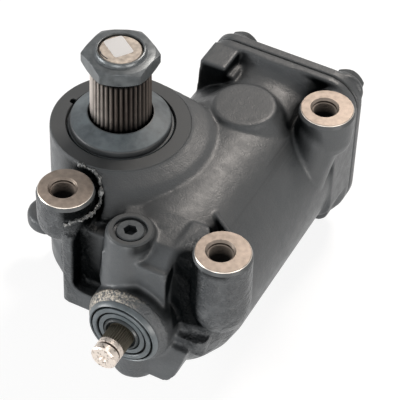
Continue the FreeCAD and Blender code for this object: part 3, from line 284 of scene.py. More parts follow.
def paint_faces(obj, materials, choose):
    """Give each face of a piece one of several materials, chosen from its centre in millimetres."""
    obj.data.materials.clear()
    for material in materials:
        obj.data.materials.append(material)
    for face in obj.data.polygons:
        face.material_index = choose(face.center / MM)


def dress(obj, material, body, replaces=()):
    """Give a modelled piece its material, its body and the CAD nodes it stands for."""
    if material is not None:
        obj.data.materials.clear()
        obj.data.materials.append(material)
    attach(obj, body)
    if replaces:
        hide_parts(*replaces)
    return obj


# Material tools. Noises are sized in millimetres; limits of places and distances are in metres, as the Object
# coordinates are.

def linear(code):
    """Colour of an sRGB hex value as linear RGBA."""
    parts = [int(code[i:i + 2], 16) / 255 for i in (1, 3, 5)]
    return tuple(p / 12.92 if p <= 0.04045 else ((p + 0.055) / 1.055) ** 2.4 for p in parts) + (1.0,)


def add(tree, kind, links=None, **settings):
    """Add a node, set its properties, then set or link its sockets."""
    node = tree.nodes.new(kind)
    for key, value in settings.items():
        setattr(node, key, value)
    for socket, value in (links or {}).items():
        if isinstance(value, bpy.types.NodeSocket):
            tree.links.new(value, node.inputs[socket])
        else:
            node.inputs[socket].default_value = value
    return node


def begin(name):
    """New material with an empty tree, its Object coordinates and its shader."""
    material = bpy.data.materials.new(name)
    material.use_nodes = True
    tree = material.node_tree
    tree.nodes.clear()
    place = add(tree, "ShaderNodeTexCoord").outputs["Object"]
    shader = add(tree, "ShaderNodeBsdfPrincipled")
    add(tree, "ShaderNodeOutputMaterial", {"Surface": shader.outputs["BSDF"]})
    return material, tree, place, shader


def noise(tree, place, size, detail=3.0, roughness=0.55):
    """Noise whose spots measure about size millimetres."""
    return add(tree, "ShaderNodeTexNoise", {"Vector": place, "Scale": 1000.0 / size, "Detail": detail,
                                            "Roughness": roughness}).outputs["Fac"]


def ranged(tree, value, low, high, to_low=0.0, to_high=1.0):
    """Map low to to_low and high to to_high, with the ends held; low may be the larger."""
    return add(tree, "ShaderNodeMapRange", {"Value": value, "From Min": low, "From Max": high,
                                            "To Min": to_low, "To Max": to_high}).outputs["Result"]


def blend(tree, factor, first, second):
    """Mix two colours, each a hex value or a socket, by a factor."""
    ends = [value if isinstance(value, bpy.types.NodeSocket) else linear(value) for value in (first, second)]
    return add(tree, "ShaderNodeMix", {0: factor, 6: ends[0], 7: ends[1]}, data_type="RGBA").outputs[2]


def maths(tree, operation, first, second=0.0):
    return add(tree, "ShaderNodeMath", {0: first, 1: second}, operation=operation).outputs[0]


def bumps(tree, shader, heights):
    """Stack bumps on a shader from (height, strength, depth in millimetres)."""
    normal = None
    for height, strength, depth in heights:
        links = {"Height": height, "Strength": strength, "Distance": depth * MM}
        if normal is not None:
            links["Normal"] = normal
        normal = add(tree, "ShaderNodeBump", links).outputs["Normal"]
    tree.links.new(normal, shader.inputs["Normal"])


def split(tree, place):
    return add(tree, "ShaderNodeSeparateXYZ", {"Vector": place}).outputs


def radius_from(tree, place, centre, across):
    """Distance in metres from an axis through a point in millimetres, across ACROSS_Z or ACROSS_Y."""
    shifted = add(tree, "ShaderNodeVectorMath", {0: place, 1: tuple(Vector(centre) * MM)},
                  operation="SUBTRACT")
    flat = add(tree, "ShaderNodeVectorMath", {0: shifted.outputs[0], 1: across}, operation="MULTIPLY")
    return add(tree, "ShaderNodeVectorMath", {0: flat.outputs[0]}, operation="LENGTH").outputs["Value"]


# Materials

def cast_iron_in_charcoal_paint():
    # Sand-cast iron under one sprayed coat of charcoal enamel: satin, with the grain of the sand showing
    # through, and run and wrinkled round the tops of the near columns. The pockets and a few spots by the
    # near columns and the plug's boss carry painted shade, near black and with little reflection, and the
    # upper rim of the nose is left rough and bare.
    material, tree, place, shader = begin("cast_iron_in_charcoal_paint")
    broad = noise(tree, place, 30.0, 2.0)
    swell = noise(tree, place, 9.0, 2.0)
    wrinkle = noise(tree, place, 3.2, 4.0, 0.65)
    grain = noise(tree, place, 1.3, 2.0)
    fine = noise(tree, place, 0.6, 1.0)
    axes = split(tree, place)

    # Runs of the paint round the near columns
    around = [ranged(tree, radius_from(tree, place, (x, y, 0.0), ACROSS_Z), 0.037, 0.026)
              for x, y in COLUMNS[:2]]
    patch = maths(tree, "MULTIPLY", maths(tree, "MAXIMUM", around[0], around[1]),
                  ranged(tree, swell, 0.36, 0.56))

    # Bare chips on the rim of the nose, on the side that looks up and to the left
    ragged = maths(tree, "ADD", axes["Y"], maths(tree, "MULTIPLY", wrinkle, 0.006))
    rim = ranged(tree, ragged, -0.1180, -0.1195)
    upwards = maths(tree, "SUBTRACT", axes["Z"], maths(tree, "MULTIPLY", axes["X"], 0.9))
    upper = ranged(tree, upwards, -0.136, -0.106)
    chips = ranged(tree, noise(tree, place, 1.9, 3.0, 0.6), 0.42, 0.62)
    bare = maths(tree, "MULTIPLY", maths(tree, "MULTIPLY", rim, upper), chips)

    # Painted shade in the pockets, by how shut in they are, weaker below the piston's axis where the floor
    # lights them, and in the painted shade spots
    shelter = add(tree, "ShaderNodeAttribute", attribute_name="shelter").outputs["Fac"]
    painted_shade = maths(tree, "MULTIPLY", ranged(tree, shelter, 0.12, 0.46),
                   ranged(tree, axes["Z"], -0.0885, -0.0800, 0.15, 1.0))
    for middle, end, full, lowest, strength in PAINTED_SHADE_SPOTS:
        disc = ranged(tree, radius_from(tree, place, middle, ACROSS_Z), end * MM, full * MM)
        height = ranged(tree, axes["Z"], (lowest - PAINTED_SHADE_FADE) * MM, lowest * MM, 0.0, strength)
        painted_shade = maths(tree, "MAXIMUM", painted_shade, maths(tree, "MULTIPLY", disc, height))

    colour = blend(tree, broad, "#3b3f42", "#4a4c4e")
    colour = blend(tree, ranged(tree, fine, 0.35, 0.75, 0.0, 0.3), colour, "#626363")
    colour = blend(tree, maths(tree, "MULTIPLY", patch, 0.5), colour, "#1f2326")
    # Painted shade, near black, in the pockets and spots
    colour = blend(tree, painted_shade, colour, "#050708")
    colour = blend(tree, bare, colour, "#b9b0a2")
    tree.links.new(colour, shader.inputs["Base Color"])
    tree.links.new(maths(tree, "MULTIPLY", bare, 0.6), shader.inputs["Metallic"])
    rough = maths(tree, "SUBTRACT", ranged(tree, swell, 0.3, 0.7, 0.35, 0.46),
                  maths(tree, "MULTIPLY", patch, 0.14))
    tree.links.new(rough, shader.inputs["Roughness"])
    # The painted shade also takes most of the reflection out
    tree.links.new(ranged(tree, painted_shade, 0.0, 1.0, 0.5, 0.06), shader.inputs["Specular IOR Level"])
    shader.inputs["IOR"].default_value = 1.42
    bumps(tree, shader, ((swell, 0.4, 0.9),
                         (maths(tree, "MULTIPLY", wrinkle, patch), 0.9, 2.2),
                         (maths(tree, "MULTIPLY", wrinkle, rim), 0.8, 1.5),
                         (grain, 0.45, 0.40),
                         (fine, 0.3, 0.18)))
    return material


def paint_on_machined_iron():
    # The same enamel on turned and milled faces: no sand grain, so it lies smoother and a little glossier.
    material, tree, place, shader = begin("paint_on_machined_iron")
    broad = noise(tree, place, 18.0, 2.0)
    tree.links.new(blend(tree, broad, "#373a3c", "#464849"), shader.inputs["Base Color"])
    tree.links.new(ranged(tree, broad, 0.3, 0.7, 0.42, 0.52), shader.inputs["Roughness"])
    shader.inputs["IOR"].default_value = 1.42
    bumps(tree, shader, ((noise(tree, place, 0.8, 2.0), 0.2, 0.1),))
    return material


def enamel_on_mould_flash():
    # The enamel where it ran over a crumpled flash of the mould: glossier, and rubbed light on its crests.
    material, tree, place, shader = begin("enamel_on_mould_flash")
    crests = noise(tree, place, 2.6, 3.0)
    colour = blend(tree, ranged(tree, crests, 0.38, 0.6), "#26292b", "#8b8c8b")
    tree.links.new(colour, shader.inputs["Base Color"])
    shader.inputs["Roughness"].default_value = 0.32
    shader.inputs["IOR"].default_value = 1.5
    bumps(tree, shader, ((crests, 0.6, 0.8),))
    return material


def bare_machined_iron(name, centre):
    # Faced and drilled cast iron left bare: warm grey, with the fine rings of the facing tool, drawn 0.9 mm
    # apart so that they show, a painted highlight on the chamfer round the face's outer edge, and painted
    # shade, near black, down the hole.
    material, tree, place, shader = begin(name)
    distance = radius_from(tree, place, centre, ACROSS_Z)
    rings = maths(tree, "SINE", maths(tree, "MULTIPLY", distance, 2 * math.pi / (0.9 * MM)))
    blotch = noise(tree, place, 5.0, 3.0)
    colour = blend(tree, ranged(tree, blotch, 0.3, 0.7), "#746a61", "#8c8076")
    colour = blend(tree, ranged(tree, rings, -1.0, 1.0, 0.0, 0.12), colour, "#5c544d")
    depth = split(tree, place)["Z"]
    # Painted highlight: the chamfer round the outer edge of the face made bright
    edge = maths(tree, "MULTIPLY", ranged(tree, depth, -0.0002, -0.0006),
                 ranged(tree, distance, 0.0140, 0.0150))
    colour = blend(tree, edge, colour, "#d9d0c6")
    # Painted shade: darker down the hole, from 2 mm to full at 14 mm
    colour = blend(tree, ranged(tree, depth, -0.002, -0.014), colour, "#151311")
    tree.links.new(colour, shader.inputs["Base Color"])
    shader.inputs["Metallic"].default_value = 0.9
    tree.links.new(ranged(tree, blotch, 0.3, 0.7, 0.32, 0.44), shader.inputs["Roughness"])
    bumps(tree, shader, ((rings, 0.12, 0.05), (blotch, 0.1, 0.1)))
    return material


def phosphated_steel(name, dark, light, rough):
    # Forged or turned steel with a manganese phosphate coat, slightly oiled: near black, finely crystalline.
    material, tree, place, shader = begin(name)
    cloud = noise(tree, place, 6.0, 4.0)
    tree.links.new(blend(tree, ranged(tree, cloud, 0.3, 0.7), dark, light), shader.inputs["Base Color"])
    shader.inputs["Metallic"].default_value = 0.4
    tree.links.new(ranged(tree, cloud, 0.3, 0.7, rough - 0.06, rough + 0.06), shader.inputs["Roughness"])
    bumps(tree, shader, ((noise(tree, place, 0.5, 2.0), 0.2, 0.06),))
    return material


def sector_shaft_steel():
    # Case-hardened shaft: rolled serration with a painted highlight on its crests on the side that looks to
    # the left and painted shade on the right, dark in the gaps and towards its foot, painted shade under the
    # nut, ground journals inside, and a faced end left bare.
    material, tree, place, shader = begin("case_hardened_shaft_steel")
    distance = radius_from(tree, place, (0, 0, 0), ACROSS_Z)
    streak = noise(tree, place, 4.0, 4.0)
    axes = split(tree, place)
    height = axes["Z"]
    # Painted light: the crests bright on the side that looks to the left, darker to the right
    left = maths(tree, "ADD", maths(tree, "MULTIPLY", axes["X"], -0.9),
                 maths(tree, "MULTIPLY", axes["Y"], -0.44))
    crest_with_painted_light = blend(tree, ranged(tree, left, 0.004, 0.017), "#6f6660", "#e6dcd4")
    serration = blend(tree, ranged(tree, distance, 0.0232, 0.0248), "#0d0b0a", crest_with_painted_light)
    # Darker towards the foot of the serration
    dark_foot_and_painted_shade = ranged(tree, maths(tree, "ADD", height, maths(tree, "MULTIPLY", streak, 0.006)), 0.026, 0.014)
    # Painted shade in a band under the nut
    dark_foot_and_painted_shade = maths(tree, "MAXIMUM", dark_foot_and_painted_shade, ranged(tree, height, 0.0550, 0.0575))
    serration = blend(tree, dark_foot_and_painted_shade, serration, "#0e0f10")
    end = blend(tree, ranged(tree, streak, 0.3, 0.7), "#92887e", "#b2a79b")
    colour = blend(tree, maths(tree, "GREATER_THAN", height, 0.0600), serration, end)
    colour = blend(tree, maths(tree, "LESS_THAN", height, 0.0), colour, "#a3a5a6")
    tree.links.new(colour, shader.inputs["Base Color"])
    shader.inputs["Metallic"].default_value = 0.85
    tree.links.new(ranged(tree, streak, 0.3, 0.7, 0.32, 0.46), shader.inputs["Roughness"])
    bumps(tree, shader, ((noise(tree, place, 0.7, 2.0), 0.15, 0.06),))
    return material


def stub_shaft_steel():
    # Stub shaft: turned tip left bright, with burrs and grease; the serration behind it dark with phosphate.
    material, tree, place, shader = begin("stub_shaft_steel")
    along = split(tree, place)["Y"]
    blotch = noise(tree, place, 2.2, 4.0, 0.65)
    bright = blend(tree, ranged(tree, blotch, 0.37, 0.45), "#65594f", "#dbd0c6")
    distance = radius_from(tree, place, PISTON, ACROSS_Y)
    # Painted shade in the groove between the tip's end disc and its ring
    painted_shade_groove = maths(tree, "MULTIPLY", ranged(tree, distance, 0.0107, 0.0100),
                   ranged(tree, along, -0.1575, -0.1563))
    bright = blend(tree, painted_shade_groove, bright, "#4b4038")
    colour = blend(tree, ranged(tree, along, -0.1488, -0.1500), "#625d52", bright)
    tree.links.new(colour, shader.inputs["Base Color"])
    shader.inputs["Metallic"].default_value = 0.7
    tree.links.new(ranged(tree, blotch, 0.3, 0.7, 0.3, 0.48), shader.inputs["Roughness"])
    bumps(tree, shader, ((blotch, 0.35, 0.35),))
    return material


def nitrile_rubber():
    # Moulded nitrile rubber of the shaft's dust seal: bluish grey and dull, with a bloom on the cone, and
    # painted shade, near black, at the lip against the shaft and round the rolled edge, outside which the
    # foot's rim is plain grey.
    material, tree, place, shader = begin("grey_nitrile_rubber")
    distance = radius_from(tree, place, (0, 0, 0), ACROSS_Z)
    cloud = noise(tree, place, 14.0, 4.0, 0.6)
    colour = blend(tree, ranged(tree, cloud, 0.36, 0.62), "#363d41", "#5c6468")
    # Painted shade at the lip against the shaft
    colour = blend(tree, ranged(tree, distance, 0.0282, 0.0268), colour, "#15181a")
    # Painted shade round the rolled edge and down to the foot, whose outer rim stays plain grey
    colour = blend(tree, ranged(tree, distance, 0.0402, 0.0412), colour, "#15181a")
    colour = blend(tree, ranged(tree, distance, 0.0424, 0.0428), colour, "#4d5356")
    tree.links.new(colour, shader.inputs["Base Color"])
    tree.links.new(ranged(tree, cloud, 0.3, 0.7, 0.42, 0.55), shader.inputs["Roughness"])
    shader.inputs["IOR"].default_value = 1.52
    bumps(tree, shader, ((noise(tree, place, 1.5, 2.0), 0.12, 0.15),))
    return material


def chloroprene_rubber():
    # Moulded chloroprene cap over the valve: dark grey, smooth and slightly oily, with painted shade in its
    # grooves, near black and without reflection.
    material, tree, place, shader = begin("chloroprene_rubber")
    cloud = noise(tree, place, 7.0, 3.0)
    distance = radius_from(tree, place, PISTON, ACROSS_Y)
    # Painted shade, near black and without reflection, down in the ring grooves
    painted_shade_groove = maths(tree, "MULTIPLY", ranged(tree, split(tree, place)["Y"], -0.1334, -0.1326),
                   ranged(tree, distance, 0.0283, 0.0279))
    colour = blend(tree, ranged(tree, cloud, 0.3, 0.7), "#454c4f", "#596064")
    colour = blend(tree, ranged(tree, distance, 0.0168, 0.0150), colour, "#272c2e")
    tree.links.new(blend(tree, painted_shade_groove, colour, "#040505"), shader.inputs["Base Color"])
    tree.links.new(ranged(tree, painted_shade_groove, 0.0, 1.0, 0.5, 0.05), shader.inputs["Specular IOR Level"])
    shader.inputs["Roughness"].default_value = 0.36
    shader.inputs["IOR"].default_value = 1.52
    bumps(tree, shader, ((noise(tree, place, 1.2, 2.0), 0.1, 0.12),))
    return material


def plain_metal(name, colour, rough, metallic=1.0):
    """Inner piece of one metal, with a faint cloud in its gloss."""
    material, tree, place, shader = begin(name)
    shader.inputs["Base Color"].default_value = linear(colour)
    shader.inputs["Metallic"].default_value = metallic
    cloud = noise(tree, place, 3.0)
    tree.links.new(ranged(tree, cloud, 0.3, 0.7, rough - 0.05, rough + 0.05), shader.inputs["Roughness"])
    return material


def plain_soft(name, colour, rough, grain=1.0):
    """Piece of rubber, fibre, plastic or film, with a fine grain."""
    material, tree, place, shader = begin(name)
    shader.inputs["Base Color"].default_value = linear(colour)
    shader.inputs["Roughness"].default_value = rough
    bumps(tree, shader, ((noise(tree, place, grain), 0.15, 0.08),))
    return material


CAST_PAINT = cast_iron_in_charcoal_paint()
FACE_PAINT = paint_on_machined_iron()
RUBBED_PAINT = enamel_on_mould_flash()
NUT_STEEL = phosphated_steel("phosphated_nut_steel", "#484c4e", "#626668", 0.34)
PLUG_STEEL = phosphated_steel("phosphated_plug_steel", "#3a3e41", "#4a4e50", 0.42)
GROUND_STEEL = plain_metal("ground_steel", "#a9abac", 0.25)
BEARING_STEEL = plain_metal("polished_bearing_steel", "#c9cbcc", 0.12)
SPRING_STEEL = plain_metal("blued_spring_steel", "#3c4148", 0.35, 0.8)
BLACK_RUBBER = plain_soft("black_nitrile_rubber", "#1b1d1f", 0.5)
GASKET_FIBRE = plain_soft("gasket_fibre", "#191b1b", 0.8, 0.5)
RING_PLASTIC = plain_soft("filled_ptfe", "#3b3126", 0.45)
LABEL_FILM = plain_soft("white_label_film", "#fbfcfd", 0.35, 3.0)
MARKER_INK = plain_soft("black_marker_ink", "#0c0c0d", 0.4)


# Housing: a cast skin with crisp machined pieces let into it

def clearing_bead():
    """Crumpled flash that the mould leaves over the near left column, from its clearing down to its flank."""
    # Degrees round the column, distance from its middle, and height, from the column's back to its front
    path = ((100, 30.0, -1.4), (76, 30.0, -1.9), (59, 30.0, -3.8), (45, 29.0, -8.0), (34, 27.5, -13.0),
            (22, 25.5, -17.0), (5, 24.9, -16.0), (-13, 24.7, -13.8), (-36, 24.7, -13.4), (-62, 25.0, -16.5))
    turns, radii, heights = [[point[k] for point in reversed(path)] for k in range(3)]
    cx, cy = COLUMNS[0]
    points = []
    for degrees in range(-62, 102, 2):
        angle = math.radians(degrees)
        radius = np.interp(degrees, turns, radii)
        points.append((cx + radius * math.cos(angle), cy + radius * math.sin(angle),
                       np.interp(degrees, turns, heights)))
    bead = tube("clearing_bead", points, thick=1.5)
    clean(bead)
    crumple = bpy.data.textures.new("crumple", "CLOUDS")
    crumple.noise_scale = 4.0 * MM
    modify(bead, "SUBSURF", levels=1, render_levels=1)
    modify(bead, "DISPLACE", texture=crumple, texture_coords="GLOBAL", strength=5.5 * MM, mid_level=0.5)
    only(bead)
    bpy.ops.object.shade_smooth()
    return dress(bead, RUBBED_PAINT, "housing")


def housing_skin():
    """The whole casting, cut away where the machined faces, the two rings and the plug are let in."""
    skin = cast_skin("gear_housing", "cast_housing", voxel=1.4, passes=6, limit=190000)
    cutters = []
    for i, ((cx, cy), (hx, hy)) in enumerate(zip(COLUMNS, HOLES)):
        cutters.append(rod("face_cutter_%d" % i, 25.0, -4.0, 6.0, (cx, cy, 0)))
        cutters.append(rod("hole_cutter_%d" % i, SLEEVE_R, -35.0, -3.5, (hx, hy, 0)))
    cutters.append(rod("tower_cutter", 57.8, -1.3, 6.0, (0, 0, 0), 128))
    cutters.append(rod("recess_cutter", 46.4, -6.4, 0.0, (0, 0, 0), 128))
    cutters.append(rod("notch_cutter", 3.2, -6.0, 0.0, NOTCH, 32))
    cutters.append(rod("boss_cutter", 18.7, -9.8, 6.0, PLUG))
    cutters.append(rod("plug_cutter", 14.8, -11.1, 0.0, PLUG))
    for cutter in cutters:
        combine(skin, cutter, "DIFFERENCE")
    smooth_by_angle(skin, 50)
    # How shut in each point is, which drives the painted shade of the pockets
    mark_shelter(skin)
    return dress(skin, CAST_PAINT, "housing", ["gear_housing"])


def thread_ridge(radius, pitch, turns, low, centre):
    """Helical ridge of a tapped hole, wound upwards from its low end as one three-cornered section."""
    bpy.ops.object.select_all(action="DESELECT")
    bpy.ops.mesh.primitive_circle_add(vertices=3, radius=pitch * MM, fill_type="NOTHING")
    obj = named(bpy.context.object, "thread_ridge")
    corners = ((radius + 0.25, -0.42 * pitch), (radius + 0.25, 0.42 * pitch), (radius - 0.6 * pitch, 0.0))
    for vertex, (r, z) in zip(obj.data.vertices, corners):
        vertex.co = Vector((r, 0.0, z + low)) * MM
    modify(obj, "SCREW", axis="Z", angle=2 * math.pi, screw_offset=pitch * MM, iterations=turns,
           steps=40, render_steps=40)
    edit(obj, everything=False)
    fill_ends()
    leave_edit()
    clean(obj)
    obj.location = Vector(centre) * MM
    settle(obj)
    return obj


def mounting_face(index):
    """Machined face and tapped hole of one column, the hole a little off the middle of its casting."""
    (cx, cy), (hx, hy) = COLUMNS[index], HOLES[index]
    centre = (hx, hy, 0)
    plate = turned("mounting_plate", [(22.2, -0.8), (23.4, -4.0), (5.0, -4.0), (5.0, 0.0), (21.5, 0.0)],
                   (cx, cy, 0))
    sleeve = turned("hole_sleeve", [(SLEEVE_R, -34.9), (SLEEVE_R, -2.0), (5.0, -2.0), (5.0, -34.9)], centre)
    combine(plate, sleeve, "UNION")
    bore = turned("hole_bore", [(CORE_R, -36.0), (CORE_R, -1.8), (12.9, 0.9)], centre, closed=False)
    combine(plate, bore, "DIFFERENCE")
    ridge = thread_ridge(CORE_R, THREAD_PITCH, 20, -33.0, centre)
    face = joined([plate, ridge], "mounting_face_%d" % index)
    smooth_by_angle(face, 30)

    def painted(spot):
        """1 on the flank below the bare face, else 0."""
        flank = math.hypot(spot.x - cx, spot.y - cy) > BARE_FACE_R and spot.z < -0.9
        return 1 if flank else 0

    paint_faces(face, [bare_machined_iron("bare_machined_iron_%d" % index, centre), FACE_PAINT], painted)
    return dress(face, None, "housing")


def tower_ring():
    """Machined ring round the recess of the dust seal, with its half-round notch."""
    ring = turned("tower_ring",
                  [(44.85, -6.3), (44.85, -0.4), (45.25, 0.0), (56.9, 0.0), (57.7, -0.8), (57.7, -1.5),
                   (46.5, -1.5), (46.5, -6.3)], segments=160)
    combine(ring, rod("notch_cutter", 3.0, -7.0, 2.0, NOTCH, 32), "DIFFERENCE")
    smooth_by_angle(ring, 30)
    return dress(ring, FACE_PAINT, "housing")


def plug_ring():
    """Machined ring of the plug's boss, sunk below the mounting plane."""
    ring = turned("plug_boss_ring",
                  [(13.5, -11.0), (13.5, -8.4), (13.9, -8.0), (17.2, -8.0), (18.6, -9.4), (18.6, -10.0),
                   (14.9, -10.0), (14.9, -11.0)], PLUG, angle=30)
    return dress(ring, FACE_PAINT, "housing")


def cover_skin(node, name, voxel):
    """One of the two cast covers."""
    skin = cast_skin(node, name, voxel, passes=3, limit=60000)
    smooth_by_angle(skin, 50)
    return dress(skin, CAST_PAINT, "housing", [node])


def bolt_head(name, across_flats, height, turn):
    """Hexagon bolt head with chamfered corners, standing on Z = 0."""
    bpy.ops.object.select_all(action="DESELECT")
    bpy.ops.mesh.primitive_cylinder_add(vertices=6, radius=across_flats / math.sqrt(3) * MM,
                                        depth=height * MM, location=(0, 0, height / 2 * MM),
                                        rotation=(0, 0, math.radians(turn)))
    head = named(bpy.context.object, name)
    settle(head)
    flat = across_flats / 2
    chamfer = turned("head_chamfer",
                     [(flat * 0.93, -1.0), (flat * 1.17, height * 0.12), (flat * 1.17, height * 0.72),
                      (flat * 0.9, height + 0.2)], segments=72, closed=False)
    combine(head, chamfer, "INTERSECT")
    clean(head)
    modify(head, "BEVEL", width=0.45 * MM, segments=2, limit_method="ANGLE", angle_limit=math.radians(35))
    smooth_by_angle(head, 40)
    return head


def bolt_heads(name, model, tilt, places, replaced):
    """One painted bolt head set down at each place, tilted about X."""
    model.rotation_euler = (math.radians(tilt), 0, 0)
    settle(model)
    heads = [copied(model, "%s_%d" % (name, i), place) for i, place in enumerate(places)]
    bpy.data.objects.remove(model)
    return dress(joined(heads, name), FACE_PAINT, "housing", [replaced])


def end_bolts():
    places = [(x, END_BOLT_SEAT_Y, z) for x, z in END_BOLTS]
    model = bolt_head("end_bolt_model", across_flats=24.0, height=9.0, turn=12.0)
    return bolt_heads("end_cover_bolt_heads", model, -90, places, "end_cover_bolts")


def side_bolts():
    angles = [math.radians(degrees) for degrees in SIDE_BOLT_ANGLES]
    places = [(SIDE_BOLT_CIRCLE_R * math.cos(angle), SIDE_BOLT_CIRCLE_R * math.sin(angle), SIDE_BOLT_SEAT_Z)
              for angle in angles]
    model = bolt_head("side_bolt_model", across_flats=16.0, height=6.4, turn=0.0)
    return bolt_heads("side_cover_bolt_heads", model, 180, places, "side_cover_bolts")


# Sector shaft end, its nut and its dust seal

def shaft_nut():
    """Thin hexagon nut with chamfered corners and a round collar."""
    bpy.ops.object.select_all(action="DESELECT")
    bpy.ops.mesh.primitive_cylinder_add(vertices=6, radius=NUT_ACROSS_FLATS / math.sqrt(3) * MM,
                                        depth=NUT_HEIGHT * MM, location=(0, 0, NUT_MIDDLE_Z * MM),
                                        rotation=(0, 0, math.radians(NUT_TURN)))
    nut = named(bpy.context.object, "shaft_nut")
    settle(nut)
    modify(nut, "BEVEL", width=0.7 * MM, segments=3, limit_method="ANGLE", angle_limit=math.radians(50))
    chamfer = turned("nut_chamfer", [(25.9, 61.0), (32.0, 65.1), (32.0, 72.1), (27.6, 74.3), (26.4, 74.9)],
                     segments=160, closed=False)
    combine(nut, chamfer, "INTERSECT")
    collar = turned("nut_collar",
                    [(17.2, 73.0), (23.2, 73.0), (23.2, 74.3), (21.6, 74.6), (20.6, 75.5), (20.2, 77.4),
                     (19.7, 78.0), (19.0, 78.2), (18.5, 77.8), (17.2, 77.5)], segments=128)
    combine(nut, collar, "UNION")
    combine(nut, rod("nut_bore", 18.3, 55.0, 85.0, (0, 0, 0), 128), "DIFFERENCE")
    smooth_by_angle(nut, 28)
    return dress(nut, NUT_STEEL, "sector", ["output_nut"])


def dust_seal():
    """Conical rubber seal with a rolled edge and a thin foot in the recess."""
    seal = turned("sector_dust_seal_rubber",
                  [(27.6, -6.0), (43.4, -6.0), (43.4, -1.6), (43.0, -1.1), (41.6, -1.0), (41.6, 3.4),
                   (41.3, 4.3), (40.6, 5.0), (39.6, 5.4), (36.0, 7.3), (31.0, 9.7), (28.2, 11.0),
                   (27.4, 11.5), (26.9, 11.6), (26.4, 11.2), (26.4, 4.0), (27.6, 1.5)],
                  segments=160, angle=30)
    return dress(seal, nitrile_rubber(), "housing", ["sector_dust_seal"])


def shaft_label():
    """Blank white label with rounded corners, stuck on the shaft's end."""
    corners = [Vector(corner) for corner in LABEL_CORNERS]
    middle = sum(corners, Vector((0.0, 0.0))) / 4
    side = corners[1] - corners[0]
    wide = corners[2] - corners[1]
    bpy.ops.object.select_all(action="DESELECT")
    bpy.ops.mesh.primitive_cube_add(size=MM)
    label = named(bpy.context.object, "shaft_label")
    label.scale = (wide.length, side.length, LABEL_THICK)
    settle(label)
    edit(label, everything=False)
    leave_edit()
    for edge in label.data.edges:
        start, end = [label.data.vertices[v].co for v in edge.vertices]
        upright = abs(start.z - end.z) > LABEL_THICK / 2 * MM
        edge.select = upright
    bpy.ops.object.mode_set(mode="EDIT")
    bpy.ops.mesh.bevel(offset=2.4 * MM, segments=6)
    leave_edit()
    label.rotation_euler = (0, 0, math.atan2(wide.y, wide.x))
    label.location = Vector((middle.x, middle.y, LABEL_MIDDLE_Z)) * MM
    settle(label)
    return dress(label, LABEL_FILM, "sector")


def marker_stroke():
    """Short inspection stroke drawn along the edge of the shaft's end."""
    points = [(-12.9, -9.8, 76.4), (-10.6, -12.0, 76.4), (-7.4, -13.7, 76.4), (-3.6, -14.6, 76.4)]
    return dress(tube("inspection_stroke", points, thick=0.6), MARKER_INK, "sector")


def dust_boot():
    """Rubber cap with two deep ring grooves in its face and a lip round the input shaft."""
    cap = turned("input_dust_boot_rubber",
                 [(26.1, -127.0), (11.2, -127.0), (11.2, -133.3), (11.8, -134.0), (12.5, -133.2),
                  (13.4, -135.3), (14.4, -135.5), (15.2, -134.4), (15.5, -132.6), (16.3, -132.6),
                  (16.6, -133.8), (20.3, -133.6), (20.7, -131.9), (21.9, -131.9), (22.2, -134.0),
                  (22.8, -134.5), (25.4, -134.5), (26.0, -134.1), (26.3, -131.4), (27.4, -131.4),
                  (27.7, -133.4), (28.4, -134.0), (29.3, -133.4), (30.3, -131.6), (31.0, -130.06),
                  (26.1, -130.06)],
                 (PISTON[0], 0, PISTON[2]), along="Y", segments=128)
    return dress(cap, chloroprene_rubber(), "housing", ["input_dust_boot"])


housing_skin()
clearing_bead()
for i in range(len(COLUMNS)):
    mounting_face(i)
tower_ring()
plug_ring()
cover_skin("end_cover", "cast_end_cover", 1.1)
cover_skin("side_cover", "cast_side_cover", 1.2)
end_bolts()
side_bolts()
shaft_nut()
dust_seal()
shaft_label()
marker_stroke()
dust_boot()

# The nodes that carry over as they are
CAD_MATERIALS = {
    "end_cover_gasket": GASKET_FIBRE,
    "side_cover_gasket": GASKET_FIBRE,
    "lash_adjuster": PLUG_STEEL,
    "lash_adjuster_locknut": PLUG_STEEL,
    "upper_sector_bearing": BEARING_STEEL,
    "lower_sector_bearing": BEARING_STEEL,
    "worm_bearing": BEARING_STEEL,
    "bearing_balls": BEARING_STEEL,
    "sector_oil_seal": BLACK_RUBBER,
    "input_oil_seal": BLACK_RUBBER,
    "seal_snap_ring": SPRING_STEEL,
    "screw_plug": PLUG_STEEL,
    "sector_shaft": sector_shaft_steel(),
    "input_shaft": stub_shaft_steel(),
    "torsion_bar": GROUND_STEEL,
    "worm": GROUND_STEEL,
    "valve_sleeve": GROUND_STEEL,
    "rack_piston": GROUND_STEEL,
    "piston_seal_ring": RING_PLASTIC,
}
for node, material in CAD_MATERIALS.items():
    nodes[node].data.materials.clear()
    nodes[node].data.materials.append(material)


# Floor, light and camera

def lamp(name, place, target, size, power, colour):
    """Rectangular softbox that looks at a target; places and sizes in metres, power in watts."""
    light = bpy.data.lights.new(name, "AREA")
    light.shape = "RECTANGLE"
    light.size, light.size_y = size
    light.energy = power
    light.color = linear(colour)[:3]
    obj = bpy.data.objects.new(name, light)
    bpy.context.scene.collection.objects.link(obj)
    obj.location = place
    obj.rotation_euler = (Vector(target) - Vector(place)).to_track_quat("-Z", "Y").to_euler()


def grey(level):
    return (level, level, level, 1.0)


def camera_or_mirror_ray(tree):
    """1 where a surface is seen by the camera, in a reflection or through something clear."""
    rays = add(tree, "ShaderNodeLightPath").outputs
    mirror = maths(tree, "MAXIMUM", rays["Is Glossy Ray"], rays["Is Transmission Ray"])
    return maths(tree, "MAXIMUM", rays["Is Camera Ray"], mirror)


